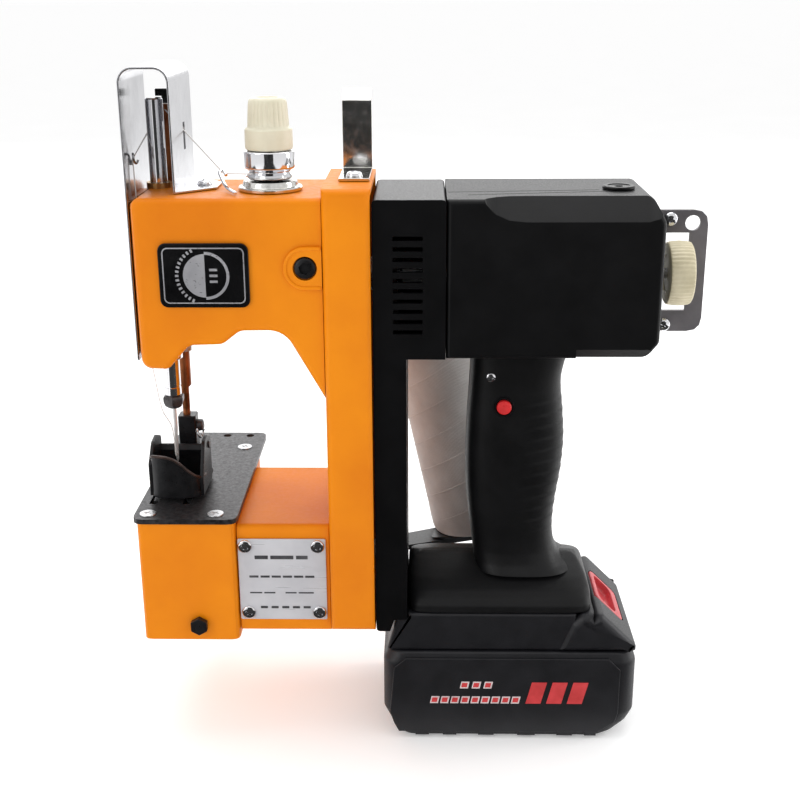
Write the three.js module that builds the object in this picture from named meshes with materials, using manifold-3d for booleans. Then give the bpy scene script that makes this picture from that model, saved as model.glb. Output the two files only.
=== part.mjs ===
// Hand-held bag closer sewing machine, battery driven, single-needle chain stitch.
// Millimetres, +Z up, +X towards the handwheel, -Y towards the side with the badge and the button.
// Everything is drawn from a datum 47.5 mm left of the battery's middle, and the whole group is
// moved at the end, so that the part's origin is the middle of the battery's flat base.
import * as THREE from "three";
import { mergeVertices } from "three/addons/utils/BufferGeometryUtils.js";
import Module from "manifold-3d";

const wasm = await Module();
wasm.setup();

// ---------------------------------------------------------------- driving dimensions
const DATUM_TO_ORIGIN = 47.5;
const GAP = 0.3; // between pieces that touch
const WALL = 2.5; // plastic mouldings
const CAST = 2; // castings

const HEAD = { left: -127, right: -41.8, near: -36, far: 26, top: 275, under: 196 };
const COLUMN = { left: -41.5, right: -19.5, near: -40, far: 30, bottom: 61.8, top: 279.6 };
const ARM = { left: -87, right: -41.8, near: -34, far: 44, bottom: 58.7, top: 116.5 };
const LOOPER_BOX = { left: -135, right: -87.3, near: -38, far: 62, bottom: 56, top: 118.7 };
const BED = { left: -136.5, right: -86, near: -39, far: 83, bottom: 119, top: 121.5 };
const COVER = { left: -19.2, stripRight: -4, right: 14, near: -36, far: 26, bottom: 60, lidTop: 66.4, step: 201, top: 274.5 };
const HOUSING = { left: 14.3, right: 112, near: -36, far: 30, bottom: 201, top: 274.5 };
const GRIP = { half: 18, wall: 3 };
const FOOT = { left: -3.7, right: 88, half: 30, bottom: 69, top: 88 };
const BATTERY = { left: -16, right: 111, half: 37, lidHalf: 34, split: 48, shoulder: 72.7 };

const MAIN_SHAFT = { y: 0, z: 233.5, radius: 4 };
const LOWER_SHAFT = { y: 0, z: 85, radius: 4 };
const MOTOR_SHAFT_RADIUS = 2.5;
const BELT = { left: -16.5, right: -8.5, pulley: 12, thickness: 1.8 };
const STROKE = 30; // needle bar, drawn at the top of its stroke
const NEEDLE = { x: -120.5, y: 0, barRadius: 4.1, bushRadius: 5.8, tip: 136 };
const PRESSER = { x: -117.5, y: 15, radius: 3.3, springRadius: 4.2 };
const TENSION = { x: -66.8, y: -10, postRadius: 3 };
const BUTTON = { x: 42.7, z: 171.9, radius: 3.75 };
const CONE = { x: 40.5, y: 75, z: 76, lean: -15, radius: 31.5, topRadius: 24, height: 165 };

// ---------------------------------------------------------------- materials
const finish = (color, roughness, metalness) => new THREE.MeshStandardMaterial({ color, roughness, metalness });
const YELLOW_PAINT = finish(0xf2920a, 0.3, 0.0);
const BLACK_PLASTIC = finish(0x131315, 0.65, 0.0);
const DARK_PLASTIC = finish(0x25262a, 0.55, 0.0);
const CREAM_PLASTIC = finish(0xf3e9cc, 0.4, 0.0);
const RED_PLASTIC = finish(0xd02528, 0.35, 0.0);
const CHROME = finish(0xd8dadd, 0.08, 1.0);
const STEEL = finish(0x9a9b9e, 0.35, 1.0);
const DARK_STEEL = finish(0x3a3a3d, 0.45, 0.9);
const GREY_STEEL = finish(0x6b686c, 0.45, 0.8);
const COPPER = finish(0x96460f, 0.35, 0.9);
const ALUMINIUM = finish(0xb9bbbe, 0.4, 1.0);
const RUBBER = finish(0x17171a, 0.8, 0.0);
const SILVER_LABEL = finish(0xc9cbd0, 0.3, 0.7);
const CELL_WRAP = finish(0x2f6f8f, 0.4, 0.0);
const WHITE_THREAD = finish(0xd9d7d2, 0.9, 0.0);

// ---------------------------------------------------------------- shape helpers
// A closed solid from a three.js geometry, with its faces turned outwards.
function solid(geometry) {
  geometry.deleteAttribute("normal");
  geometry.deleteAttribute("uv");
  const merged = mergeVertices(geometry, 1e-4);
  const corners = merged.index.array;
  const kept = [];
  for (let i = 0; i < corners.length; i += 3) {
    const [a, b, c] = [corners[i], corners[i + 1], corners[i + 2]];
    if (a !== b && b !== c && c !== a) kept.push(a, b, c);
  }
  const vertProperties = new Float32Array(merged.attributes.position.array);
  if (signedVolume(vertProperties, kept) < 0) kept.reverse();
  return new wasm.Manifold(new wasm.Mesh({ numProp: 3, vertProperties, triVerts: new Uint32Array(kept) }));
}

function signedVolume(positions, corners) {
  const point = (i) => new THREE.Vector3().fromArray(positions, 3 * i);
  let total = 0;
  for (let i = 0; i < corners.length; i += 3) {
    total += point(corners[i]).dot(point(corners[i + 1]).cross(point(corners[i + 2])));
  }
  return total;
}

// A closed outline; each point is [a, b] or [a, b, rounding].
function outline(points) {
  const shape = new THREE.Shape();
  points.forEach(([x, y, rounding = 0], i) => {
    const corner = new THREE.Vector2(x, y);
    const from = new THREE.Vector2(...points.at(i - 1).slice(0, 2));
    const to = new THREE.Vector2(...points[(i + 1) % points.length].slice(0, 2));
    const before = corner.clone().add(from.sub(corner).setLength(rounding));
    const after = corner.clone().add(to.sub(corner).setLength(rounding));
    if (i === 0) shape.moveTo(before.x, before.y);
    else shape.lineTo(before.x, before.y);
    if (rounding > 0) shape.quadraticCurveTo(x, y, after.x, after.y);
  });
  return shape;
}

// Turns a geometry drawn along +Z so that it runs along the named axis.
// Along "y" the outline is [x, z], along "x" it is [y, z], along "z" it is [x, y].
function alongAxis(geometry, axis, from, to) {
  if (axis === "z") geometry.translate(0, 0, from);
  if (axis === "y") geometry.rotateX(Math.PI / 2).translate(0, to, 0);
  if (axis === "x") geometry.rotateX(Math.PI / 2).rotateZ(Math.PI / 2).translate(from, 0, 0);
  return geometry;
}

// An outline extruded along an axis; round takes the sharp rim off both ends.
function slab(axis, points, from, to, { round = 0, steps = 3 } = {}) {
  const geometry = new THREE.ExtrudeGeometry(outline(points), {
    depth: to - from - 2 * round,
    curveSegments: steps,
    bevelEnabled: round > 0,
    bevelThickness: round,
    bevelSize: round,
    bevelOffset: -round,
    bevelSegments: 2,
  });
  geometry.translate(0, 0, round);
  return solid(alongAxis(geometry, axis, from, to));
}

function block(x, y, z) {
  const geometry = new THREE.BoxGeometry(x[1] - x[0], y[1] - y[0], z[1] - z[0]);
  geometry.translate((x[0] + x[1]) / 2, (y[0] + y[1]) / 2, (z[0] + z[1]) / 2);
  return solid(geometry);
}

// A round bar along an axis, centred on [a, b] in the order that slab's outlines use.
function rod(axis, radius, from, to, [a, b], sides = 20) {
  const geometry = new THREE.CylinderGeometry(radius, radius, to - from, sides);
  geometry.rotateX(Math.PI / 2).translate(a, b, (to - from) / 2);
  return solid(alongAxis(geometry, axis, from, to));
}

function ring(axis, radius, bore, from, to, centre, sides = 20) {
  return rod(axis, radius, from, to, centre, sides).subtract(rod(axis, bore, from - 1, to + 1, centre, sides));
}

// A turned body about an upright axis through [x, y]; the profile is [radius, z] pairs.
function turned(profile, [x, y], sides = 24) {
  const points = profile.map(([radius, z]) => new THREE.Vector2(radius, z));
  return solid(new THREE.LatheGeometry(points, sides).rotateX(Math.PI / 2).translate(x, y, 0));
}

// A round wire along a smooth curve through points.
function wire(points, radius, steps) {
  const path = new THREE.CatmullRomCurve3(points.map((point) => new THREE.Vector3(...point)));
  const section = new THREE.Shape().absarc(0, 0, radius, 0, 2 * Math.PI);
  return solid(new THREE.ExtrudeGeometry(section, { steps, curveSegments: 4, extrudePath: path }));
}

const machine = new THREE.Group();

function piece(name, shape, material) {
  const mesh = shape.getMesh();
  const geometry = new THREE.BufferGeometry();
  geometry.setAttribute("position", new THREE.BufferAttribute(new Float32Array(mesh.vertProperties), 3));
  geometry.setIndex(new THREE.BufferAttribute(new Uint32Array(mesh.triVerts), 1));
  geometry.computeVertexNormals();
  const made = new THREE.Mesh(geometry, material);
  made.name = name;
  machine.add(made);
  return made;
}

// ---------------------------------------------------------------- castings
const CLAMP_BOLT = { x: -49.4, z: 244, headRadius: 5, shankRadius: 3, boss: 9.4 };
const FACE_WINDOW = { y: [-22, 22], z: [203, 268] };

function headCasting() {
  const braceFoot = 181.3;
  const outer = slab(
    "y",
    [
      [HEAD.left, HEAD.under, 6],
      [-114.6, HEAD.under - 0.5, 5],
      [-104.5, 207, 5],
      [-88.8, 207.5, 4],
      [-80.5, 214, 4],
      [-60.5, 214.2, 9],
      [-36, 171.1],
      [-36, HEAD.top],
      [HEAD.left, HEAD.top, 4],
    ],
    HEAD.near,
    HEAD.far,
    { round: 2.5 },
  );
  const inner = slab(
    "y",
    [
      [HEAD.left + CAST, 199.5],
      [-116, 199],
      [-106, 210],
      [-90, 210.5],
      [-81.5, 217],
      [-58.7, 217.2],
      [-36, 177.2],
      [-36, HEAD.top - CAST],
      [HEAD.left + CAST, HEAD.top - CAST],
    ],
    HEAD.near + CAST,
    HEAD.far - CAST,
  );
  const trim = block([HEAD.left - 1, HEAD.right], [HEAD.near - 1, HEAD.far + 1], [braceFoot - 4, HEAD.top + 1]);
  const pad = block([-129.8, HEAD.left + 1], [-23, 24], [199, 271]);
  const roundBoss = rod("y", CLAMP_BOLT.boss, HEAD.near - 1.5, HEAD.near + CAST, [CLAMP_BOLT.x, CLAMP_BOLT.z]);
  const boss = roundBoss.intersect(block([-60, HEAD.right], [-50, 0], [220, 260]));
  const cuts = [
    block([-131, HEAD.left + CAST + 1], FACE_WINDOW.y, FACE_WINDOW.z),
    rod("z", NEEDLE.bushRadius + GAP, 190, HEAD.top + 1, [NEEDLE.x, NEEDLE.y]),
    rod("z", 5.3, 190, 205, [PRESSER.x, PRESSER.y], 16),
    rod("z", PRESSER.radius + 0.5, 268, HEAD.top + 1, [PRESSER.x, PRESSER.y], 16),
    rod("y", CLAMP_BOLT.headRadius + 0.5, HEAD.near - 3, HEAD.near + 1, [CLAMP_BOLT.x, CLAMP_BOLT.z]),
    rod("y", CLAMP_BOLT.shankRadius + GAP, HEAD.near - 1, HEAD.near + CAST + 1, [CLAMP_BOLT.x, CLAMP_BOLT.z], 12),
  ];
  return cuts.reduce((body, cut) => body.subtract(cut), outer.intersect(trim).add(pad).subtract(inner).add(boss));
}

function columnCasting() {
  const rim = (inset) => [
    [COLUMN.near + inset, COLUMN.bottom + inset, 3],
    [COLUMN.far - inset, COLUMN.bottom + inset, 3],
    [COLUMN.far - inset, COLUMN.top - inset, 3],
    [COLUMN.near + inset, COLUMN.top - inset, 3],
  ];
  const outer = slab("x", rim(0), COLUMN.left, COLUMN.right);
  const inner = slab("x", rim(CAST), COLUMN.left + CAST, COLUMN.right + 1);
  const upperBore = rod("x", 11.3, COLUMN.left - 1, COLUMN.left + CAST + 1, [MAIN_SHAFT.y, MAIN_SHAFT.z]);
  const lowerBore = rod("x", 11.3, COLUMN.left - 1, COLUMN.left + CAST + 1, [LOWER_SHAFT.y, LOWER_SHAFT.z]);
  return outer.subtract(inner).subtract(upperBore).subtract(lowerBore);
}

function armCasting() {
  const rim = (inset) => [
    [ARM.near + inset, ARM.bottom + inset, 3],
    [ARM.far - inset, ARM.bottom + inset, 3],
    [ARM.far - inset, ARM.top - inset, 3],
    [ARM.near + inset, ARM.top - inset, 3],
  ];
  return slab("x", rim(0), ARM.left, ARM.right).subtract(slab("x", rim(CAST), ARM.left - 1, ARM.right + 1));
}

const HEX_BOLT = { x: -106.8, z: 64.6, headRadius: 4.62, shankRadius: 2.5 };

function looperHousing() {
  const plan = (inset) => [
    [LOOPER_BOX.left + inset, LOOPER_BOX.near + inset, 4],
    [LOOPER_BOX.right - inset, LOOPER_BOX.near + inset, 4],
    [LOOPER_BOX.right - inset, LOOPER_BOX.far - inset, 4],
    [LOOPER_BOX.left + inset, LOOPER_BOX.far - inset, 4],
  ];
  const outer = slab("z", plan(0), LOOPER_BOX.bottom, LOOPER_BOX.top);
  const inner = slab("z", plan(CAST), LOOPER_BOX.bottom + CAST, LOOPER_BOX.top + 1);
  const shaftBore = rod("x", 10.7, LOOPER_BOX.right - 5, LOOPER_BOX.right + 1, [LOWER_SHAFT.y, LOWER_SHAFT.z]);
  const boltHole = rod("y", HEX_BOLT.shankRadius + GAP, -39, -34, [HEX_BOLT.x, HEX_BOLT.z], 12);
  return outer.subtract(inner).subtract(shaftBore).subtract(boltHole);
}

const FEED_SLOTS = [
  [-132, -128],
  [-115.5, -111.5],
];

function bedPlate() {
  const plate = slab(
    "z",
    [
      [BED.left, BED.near, 5],
      [BED.right, BED.near, 5],
      [BED.right, BED.far, 5],
      [BED.left, BED.far, 5],
    ],
    BED.bottom,
    BED.top,
  );
  const through = [BED.bottom - 1, BED.top + 1];
  const cuts = [
    rod("z", 2.6, ...through, [NEEDLE.x, NEEDLE.y], 12),
    ...FEED_SLOTS.map((slot) => block(slot, [-20, 12], through)),
    ...[-108, -95].map((x) => rod("z", 2.3, ...through, [x, 78], 12)),
  ];
  return cuts.reduce((body, cut) => body.subtract(cut), plate);
}

function badge() {
  return slab(
    "y",
    [
      [-115.5, 226, 7],
      [-74.6, 226, 7],
      [-74.6, 255.5, 7],
      [-115.5, 255.5, 7],
    ],
    HEAD.near - GAP - 1.4,
    HEAD.near - GAP,
  );
}

function labelPlate() {
  return slab(
    "y",
    [
      [-86.6, 66, 1],
      [-43.6, 66, 1],
      [-43.6, 109.6, 1],
      [-86.6, 109.6, 1],
    ],
    ARM.near - GAP - 0.9,
    ARM.near - GAP,
    { steps: 2 },
  );
}

// ---------------------------------------------------------------- bolts
function clampBolt() {
  const at = [CLAMP_BOLT.x, CLAMP_BOLT.z];
  const headFace = HEAD.near - 2.2;
  const head = rod("y", CLAMP_BOLT.headRadius, headFace, headFace + 3, at);
  const shank = rod("y", CLAMP_BOLT.shankRadius, headFace + 2, -24, at, 12);
  return head.add(shank).subtract(rod("y", 2.9, headFace - 1, headFace + 1.8, at, 6));
}

function hexBolt() {
  const at = [HEX_BOLT.x, HEX_BOLT.z];
  const seat = LOOPER_BOX.near - GAP;
  return rod("y", HEX_BOLT.headRadius, seat - 3.2, seat, at, 6).add(rod("y", HEX_BOLT.shankRadius, seat - 1, -31, at, 12));
}

// ---------------------------------------------------------------- sheet metal above the head
function strapGuard() {
  const [left, right, top, sheet] = [-131.3, -108.3, 331, 1];
  const seat = HEAD.top + GAP;
  const strip = slab(
    "y",
    [
      [left, 197],
      [left, top, 7],
      [right, top, 7],
      [right, seat],
      [right - sheet, seat],
      [right - sheet, top - sheet, 6],
      [left + sheet, top - sheet, 6],
      [left + sheet, 197],
    ],
    -24,
    HEAD.far,
    { steps: 5 },
  );
  const tab = slab(
    "z",
    [
      [right - 0.6, -24],
      [-92, -9, 3],
      [-92, 8, 3],
      [right - 0.6, HEAD.far],
    ],
    seat,
    seat + sheet,
  );
  return strip.add(tab);
}

function threadGuide() {
  const [sheet, seat] = [1.4, COLUMN.top + GAP];
  return slab(
    "x",
    [
      [-17, seat],
      [20.4, seat, 1.6],
      [20.4, 312],
      [25.2, 317],
      [24.2, 318.2],
      [20.4 - sheet, 312.8],
      [20.4 - sheet, seat + sheet],
      [-17, seat + sheet],
    ],
    -35,
    -20.8,
  );
}

function wireHook() {
  return wire(
    [
      [-80.5, -27, 276.3],
      [-84, -20, 276.5],
      [-87, -14, 277.5],
      [-89.5, -9.5, 280.5],
      [-90.6, -6.8, 282.8],
      [-88.6, -6, 283.4],
      [-87.4, -8.6, 281.6],
    ],
    0.8,
    18,
  );
}

// ---------------------------------------------------------------- thread tension
function tensionBase() {
  const seat = HEAD.top + GAP;
  return turned(
    [
      [0, seat],
      [14.2, seat],
      [14.8, seat + 0.8],
      [14, seat + 2.6],
      [10.5, seat + 3.4],
      [10.5, seat + 4.7],
      [TENSION.postRadius, seat + 4.7],
      [TENSION.postRadius, 312],
      [0, 312],
    ],
    [TENSION.x, TENSION.y],
  );
}

function tensionCup() {
  const floor = HEAD.top + 5.4;
  return turned(
    [
      [TENSION.postRadius + GAP, floor],
      [10.6, floor],
      [11.9, floor + 2],
      [11.4, floor + 4.2],
      [11.9, floor + 6.4],
      [11.9, 293.3],
      [10, 293.3],
      [10, floor + 3],
      [TENSION.postRadius + GAP, floor + 3],
      [TENSION.postRadius + GAP, floor],
    ],
    [TENSION.x, TENSION.y],
  );
}

function tensionSpring() {
  return ring("z", 7.4, 5.6, HEAD.top + 5.4 + 3 + GAP, 296.4, [TENSION.x, TENSION.y], 16);
}

function tensionNut() {
  const flutes = 16;
  const rim = [];
  for (let i = 0; i < 2 * flutes; i += 1) {
    const radius = i % 2 ? 8.7 : 9.5;
    const turn = (i * Math.PI) / flutes;
    rim.push([TENSION.x + radius * Math.cos(turn), TENSION.y + radius * Math.sin(turn)]);
  }
  const at = [TENSION.x, TENSION.y];
  const skirt = rod("z", 11, 293.7, 303.3, at, 24);
  const cap = turned(
    [
      [0, 314],
      [8.7, 314],
      [7, 316.4],
      [0, 316.8],
    ],
    at,
    16,
  );
  return skirt
    .add(slab("z", rim, 303, 314.4))
    .add(cap)
    .subtract(rod("z", 8.4, 292, 297, at))
    .subtract(rod("z", TENSION.postRadius + GAP, 292, 312.5, at));
}

// ---------------------------------------------------------------- belt cover
function beltCover() {
  const wall = 2.5;
  const outer = slab(
    "y",
    [
      [COVER.left, COVER.bottom, 2],
      [-12.5, COVER.bottom],
      [-10.3, COVER.lidTop],
      [COVER.stripRight, COVER.lidTop],
      [COVER.stripRight, COVER.step],
      [COVER.right, COVER.step],
      [COVER.right, COVER.top, 2],
      [COVER.left, COVER.top, 2],
    ],
    COVER.near,
    COVER.far,
  );
  const inner = slab(
    "y",
    [
      [COVER.left - 1, COVER.bottom + wall],
      [-15, COVER.bottom + wall],
      [-12.8, COVER.lidTop + wall],
      [COVER.stripRight - wall, COVER.lidTop + wall],
      [COVER.stripRight - wall, COVER.step + wall],
      [COVER.right + 1, COVER.step + wall],
      [COVER.right + 1, COVER.top - wall],
      [COVER.left - 1, COVER.top - wall],
    ],
    COVER.near + wall,
    COVER.far - wall,
  );
  const [vents, lowest, pitch] = [10, 213, 4.8];
  let body = outer.subtract(inner);
  for (let i = 0; i < vents; i += 1) {
    const z = lowest + i * pitch;
    body = body.subtract(block([-10, 3.5], [COVER.near - 1, COVER.near + wall + 1], [z, z + 2]));
  }
  return body;
}

// ---------------------------------------------------------------- motor housing, grip and foot
// The foot is a low dome: one outline seen from the side, cut by one seen from the end.
function footShape(inset) {
  const side = slab(
    "y",
    [
      [FOOT.left + inset, FOOT.bottom + inset],
      [FOOT.right - inset, FOOT.bottom + inset],
      [FOOT.right - inset, 76 - inset / 2, 2],
      [82 - inset, FOOT.top - inset, 4],
      [12, FOOT.top - inset, 6],
      [4, 86 - inset, 4],
      [FOOT.left + inset, 86 - inset, 2],
    ],
    -FOOT.half,
    FOOT.half,
  );
  const end = slab(
    "x",
    [
      [-FOOT.half + inset, FOOT.bottom - 1],
      [FOOT.half - inset, FOOT.bottom - 1],
      [FOOT.half - inset, 82 - inset, 4],
      [17, FOOT.top - inset, 6],
      [-17, FOOT.top - inset, 6],
      [-FOOT.half + inset, 82 - inset, 4],
    ],
    FOOT.left - 1,
    FOOT.right + 1,
  );
  return side.intersect(end);
}

function housingOutside() {
  const motorBox = slab(
    "y",
    [
      [HOUSING.left - 8, HOUSING.bottom],
      [106, HOUSING.bottom, 4],
      [HOUSING.right, 208.5, 4],
      [HOUSING.right, 264, 4],
      [106.5, HOUSING.top, 4],
      [HOUSING.left - 8, HOUSING.top],
    ],
    HOUSING.near,
    HOUSING.far,
    { round: 2.5 },
  ).intersect(block([HOUSING.left, 120], [-40, 40], [190, 280]));
  const grip = slab(
    "y",
    [
      [27, 207],
      [27, 190],
      [25, 138, 20],
      [28.8, 82],
      [70, 82],
      [69.5, 112, 8],
      [73.5, 152, 12],
      [71, 183, 10],
      [74, 207],
    ],
    -GRIP.half,
    GRIP.half,
    { round: 6 },
  );
  const platePads = [202.5, 250].map((z) => block([108, 126], [12.8, 18], [z, z + 10.5]));
  return platePads.reduce((body, pad) => body.add(pad), motorBox.add(grip).add(footShape(0)));
}

function housingInside() {
  const motorRoom = slab(
    "y",
    [
      [HOUSING.left - 8, HOUSING.bottom + WALL],
      [105, HOUSING.bottom + WALL],
      [HOUSING.right - WALL, 209.5],
      [HOUSING.right - WALL, 263],
      [105.5, HOUSING.top - WALL],
      [HOUSING.left - 8, HOUSING.top - WALL],
    ],
    HOUSING.near + WALL,
    HOUSING.far - WALL,
  );
  const gripRoom = slab(
    "y",
    [
      [30, 210],
      [28.2, 138],
      [32, 80],
      [66.5, 80],
      [66.5, 112],
      [70.3, 152],
      [68, 183],
      [70.8, 210],
    ],
    -GRIP.half + GRIP.wall,
    GRIP.half - GRIP.wall,
  );
  const shaftHole = rod("x", 5, HOUSING.right - WALL - 1, HOUSING.right + 1, [MAIN_SHAFT.y, MAIN_SHAFT.z], 16);
  const buttonHole = rod("y", BUTTON.radius + 0.45, -20, -14, [BUTTON.x, BUTTON.z], 16);
  return motorRoom.add(gripRoom).add(footShape(WALL)).add(shaftHole).add(buttonHole);
}

function housingHalf(side) {
  const reach = side === "near" ? [-60, -GAP / 2] : [GAP / 2, 60];
  const half = block([-60, 160], reach, [0, 300]);
  return housingOutside().subtract(housingInside()).intersect(half);
}

function housingCap() {
  const at = [94.3, -5];
  return rod("z", 7.5, HOUSING.top + GAP, HOUSING.top + 1.7, at, 24).subtract(rod("z", 2, HOUSING.top, 280, at, 12));
}

function rearPlate() {
  const plate = slab(
    "y",
    [
      [HOUSING.right + 0.5, 202, 2],
      [140.5, 202, 7],
      [140.5, 262, 7],
      [HOUSING.right + 0.5, 262, 2],
    ],
    10,
    12.5,
  );
  const wheelSlot = block([117, 132], [9, 14], [212.5, 251]);
  const hangHole = rod("y", 3.75, 9, 14, [133.2, 255.7], 16);
  return plate.subtract(wheelSlot).subtract(hangHole);
}

function powerButton() {
  const at = [BUTTON.x, BUTTON.z];
  return rod("y", BUTTON.radius, -19.8, -12, at, 16).add(rod("y", 5.2, -14.6, -12, at, 16));
}

const powerSwitch = () => block([36, 49], [-9, 3], [165, 179]);
const controlBoard = () => block([5, 60], [-20, 20], [73, 80]);

// ---------------------------------------------------------------- drive line
function motorCan() {
  const at = [MAIN_SHAFT.y, MAIN_SHAFT.z];
  const shell = rod("x", 26, 20, 102, at, 28).subtract(rod("x", 22.8, 23, 99, at, 28));
  return shell.subtract(rod("x", 4, 19, 103, at, 12));
}

function motorArmature() {
  const at = [MAIN_SHAFT.y, MAIN_SHAFT.z];
  const shaft = rod("x", MOTOR_SHAFT_RADIUS, 4, 133.5, at, 12);
  const windings = rod("x", 21, 30, 82, at, 20);
  const commutator = rod("x", 10, 81, 94, at, 16);
  return shaft.add(windings).add(commutator);
}

function handwheel() {
  const at = [MAIN_SHAFT.y, MAIN_SHAFT.z];
  const teeth = 18;
  const rim = [];
  for (let i = 0; i < 2 * teeth; i += 1) {
    const radius = i % 2 ? 14.9 : 15.5;
    const turn = (i * Math.PI) / teeth;
    rim.push([at[0] + radius * Math.cos(turn), at[1] + radius * Math.sin(turn)]);
  }
  return slab("x", rim, 119.5, 131.2, { round: 1 })
    .subtract(rod("x", 11.5, 128, 133, at))
    .add(rod("x", 5.5, 121, 130.6, at, 16))
    .subtract(rod("x", MOTOR_SHAFT_RADIUS + GAP, 118, 133, at, 12));
}

function shaftCoupling() {
  const at = [MAIN_SHAFT.y, MAIN_SHAFT.z];
  return rod("x", 8, -6, 14, at, 20)
    .subtract(rod("x", MAIN_SHAFT.radius + GAP, -7, 3.6, at))
    .subtract(rod("x", MOTOR_SHAFT_RADIUS + GAP, 0, 15, at, 12));
}

const mainShaft = () => rod("x", MAIN_SHAFT.radius, -104.7, 3, [MAIN_SHAFT.y, MAIN_SHAFT.z]);
const lowerShaft = () => rod("x", LOWER_SHAFT.radius, -107, -7.5, [LOWER_SHAFT.y, LOWER_SHAFT.z]);

function pulley({ y, z, radius }) {
  const body = rod("x", BELT.pulley, BELT.left, BELT.right, [y, z], 24);
  const flange = rod("x", BELT.pulley + 1.4, BELT.left - 1.2, BELT.left - GAP, [y, z], 24);
  const hub = rod("x", 8, BELT.left - 6, BELT.right, [y, z]);
  return body.add(flange).add(hub).subtract(rod("x", radius + GAP, BELT.left - 7, BELT.right + 1, [y, z]));
}

function timingBelt() {
  const inner = BELT.pulley + GAP;
  const loop = (radius) => {
    const shape = new THREE.Shape();
    shape.absarc(0, MAIN_SHAFT.z, radius, 0, Math.PI);
    shape.absarc(0, LOWER_SHAFT.z, radius, Math.PI, 2 * Math.PI);
    return new THREE.ExtrudeGeometry(shape, { depth: BELT.right - BELT.left, bevelEnabled: false, curveSegments: 12 });
  };
  const band = (radius) => solid(alongAxis(loop(radius), "x", BELT.left, BELT.right));
  return band(inner + BELT.thickness).subtract(band(inner).scale([1.2, 1, 1]).translate([2.5, 0, 0]));
}

function bearing(z, from, to, radius) {
  return ring("x", radius, MAIN_SHAFT.radius + GAP, from, to, [0, z]);
}

// ---------------------------------------------------------------- needle drive
const YOKE = { plate: [-112.7, -108.2], near: -23.2, far: 22.4, slotHalf: 20.5, z: MAIN_SHAFT.z + STROKE / 2 };

function needleCrank() {
  const at = [MAIN_SHAFT.y, MAIN_SHAFT.z];
  const disc = rod("x", 20, -104.5, -100.5, at, 28);
  const hub = rod("x", 7.5, -101.5, -95, at);
  const crankPin = rod("x", 3, -107.4, -104, [0, YOKE.z], 12);
  return disc.add(hub).subtract(rod("x", MAIN_SHAFT.radius + GAP, -106, -90, at)).add(crankPin);
}

function needleBarYoke() {
  const plate = block(YOKE.plate, [YOKE.near, YOKE.far], [YOKE.z - 8, YOKE.z + 8]);
  const slot = block([-114, -107], [-YOKE.slotHalf, YOKE.slotHalf], [YOKE.z - 4.4, YOKE.z + 4.4]);
  const clamp = block([-125.9, YOKE.plate[0] + 1], [-7, 7], [YOKE.z - 7, YOKE.z + 7]);
  const bore = rod("z", NEEDLE.barRadius + GAP, YOKE.z - 9, YOKE.z + 9, [NEEDLE.x, NEEDLE.y]);
  return plate.add(clamp).subtract(slot).subtract(bore);
}

const sliderBlock = () => block([YOKE.plate[0] + 0.6, YOKE.plate[1]], [-5, 5], [YOKE.z - 4, YOKE.z + 4]);

function needleBar() {
  const at = [NEEDLE.x, NEEDLE.y];
  return rod("z", NEEDLE.barRadius, 184, 316, at, 20).add(rod("z", 3, 172.3, 185, at, 16));
}

const needleBarBush = (from, to) =>
  ring("z", NEEDLE.bushRadius, NEEDLE.barRadius + 0.35, from, to, [NEEDLE.x, NEEDLE.y]);

const needleClampNut = () => rod("z", 5.6, 165.6, 172, [NEEDLE.x, NEEDLE.y], 6);

function needle() {
  return turned(
    [
      [0, NEEDLE.tip],
      [0.9, NEEDLE.tip + 5],
      [1.1, 165.2],
      [0, 165.2],
    ],
    [NEEDLE.x, NEEDLE.y],
    8,
  );
}

// ---------------------------------------------------------------- presser
const COLLAR = { bottom: 214, top: 218 };

function presserBar() {
  const at = [PRESSER.x, PRESSER.y];
  return rod("z", PRESSER.radius, 168.4, 312, at, 16)
    .add(rod("z", 1.9, 143, 169, at, 12))
    .add(rod("z", PRESSER.springRadius, COLLAR.bottom, COLLAR.top, at, 16));
}

const presserSpring = () =>
  ring("z", PRESSER.springRadius, PRESSER.radius + 0.25, COLLAR.top + GAP, HEAD.top - CAST - GAP, [PRESSER.x, PRESSER.y], 16);

const presserBush = () => ring("z", 5, PRESSER.radius + GAP, 191, 204, [PRESSER.x, PRESSER.y], 16);

function threadHook() {
  const [y, base] = [[13, 17], 312.3];
  const body = block([-122.6, -114.6], y, [base, 319]);
  return body.subtract(block([-124, -119.6], [12, 18], [base - 1, base + 3.4]));
}

function presserFoot() {
  const [left, right, near] = [-132.4, -105, -18.8];
  const [sheet, bottom, soleTop] = [1.6, 123.6, 126.4];
  const sole = slab(
    "z",
    [
      [left + 1, near + 2, 4],
      [right - 1, near + 2, 4],
      [-106, 19, 2],
      [-131.4, 19, 2],
    ],
    bottom,
    soleTop,
  );
  const shield = slab(
    "y",
    [
      [left, bottom],
      [left, 141, 2],
      [-128, 145.3, 2],
      [-119, 144, 2],
      [-112, 137.5, 2],
      [right, 133.5, 1],
      [right, bottom],
    ],
    near,
    near + sheet,
  );
  const cheek = (from, frontTop) =>
    slab(
      "x",
      [
        [near + 1, bottom],
        [10, bottom],
        [10, 147, 2],
        [2, 150, 2],
        [-6, 149, 2],
        [near + 1, frontTop],
      ],
      from,
      from + sheet,
    );
  const bridge = block([left + 1, right - 1], [8.8, 11], [soleTop - 0.6, 143]);
  const socket = block([-121.6, -112.4], [10.6, 19.4], [140, 156.7]);
  const neck = block([-120, -114], [8.4, 19.2], [bottom + 2, 141]);
  const needleSlot = block([-123.5, -117.5], [-5, 4], [122, 129]);
  const rodBore = rod("z", 2.2, 142, 158, [PRESSER.x, PRESSER.y], 12);
  return [shield, cheek(left, 139), cheek(right - sheet, 131.5), bridge, socket, neck]
    .reduce((foot, next) => foot.add(next), sole)
    .subtract(needleSlot)
    .subtract(rodBore);
}

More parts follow.
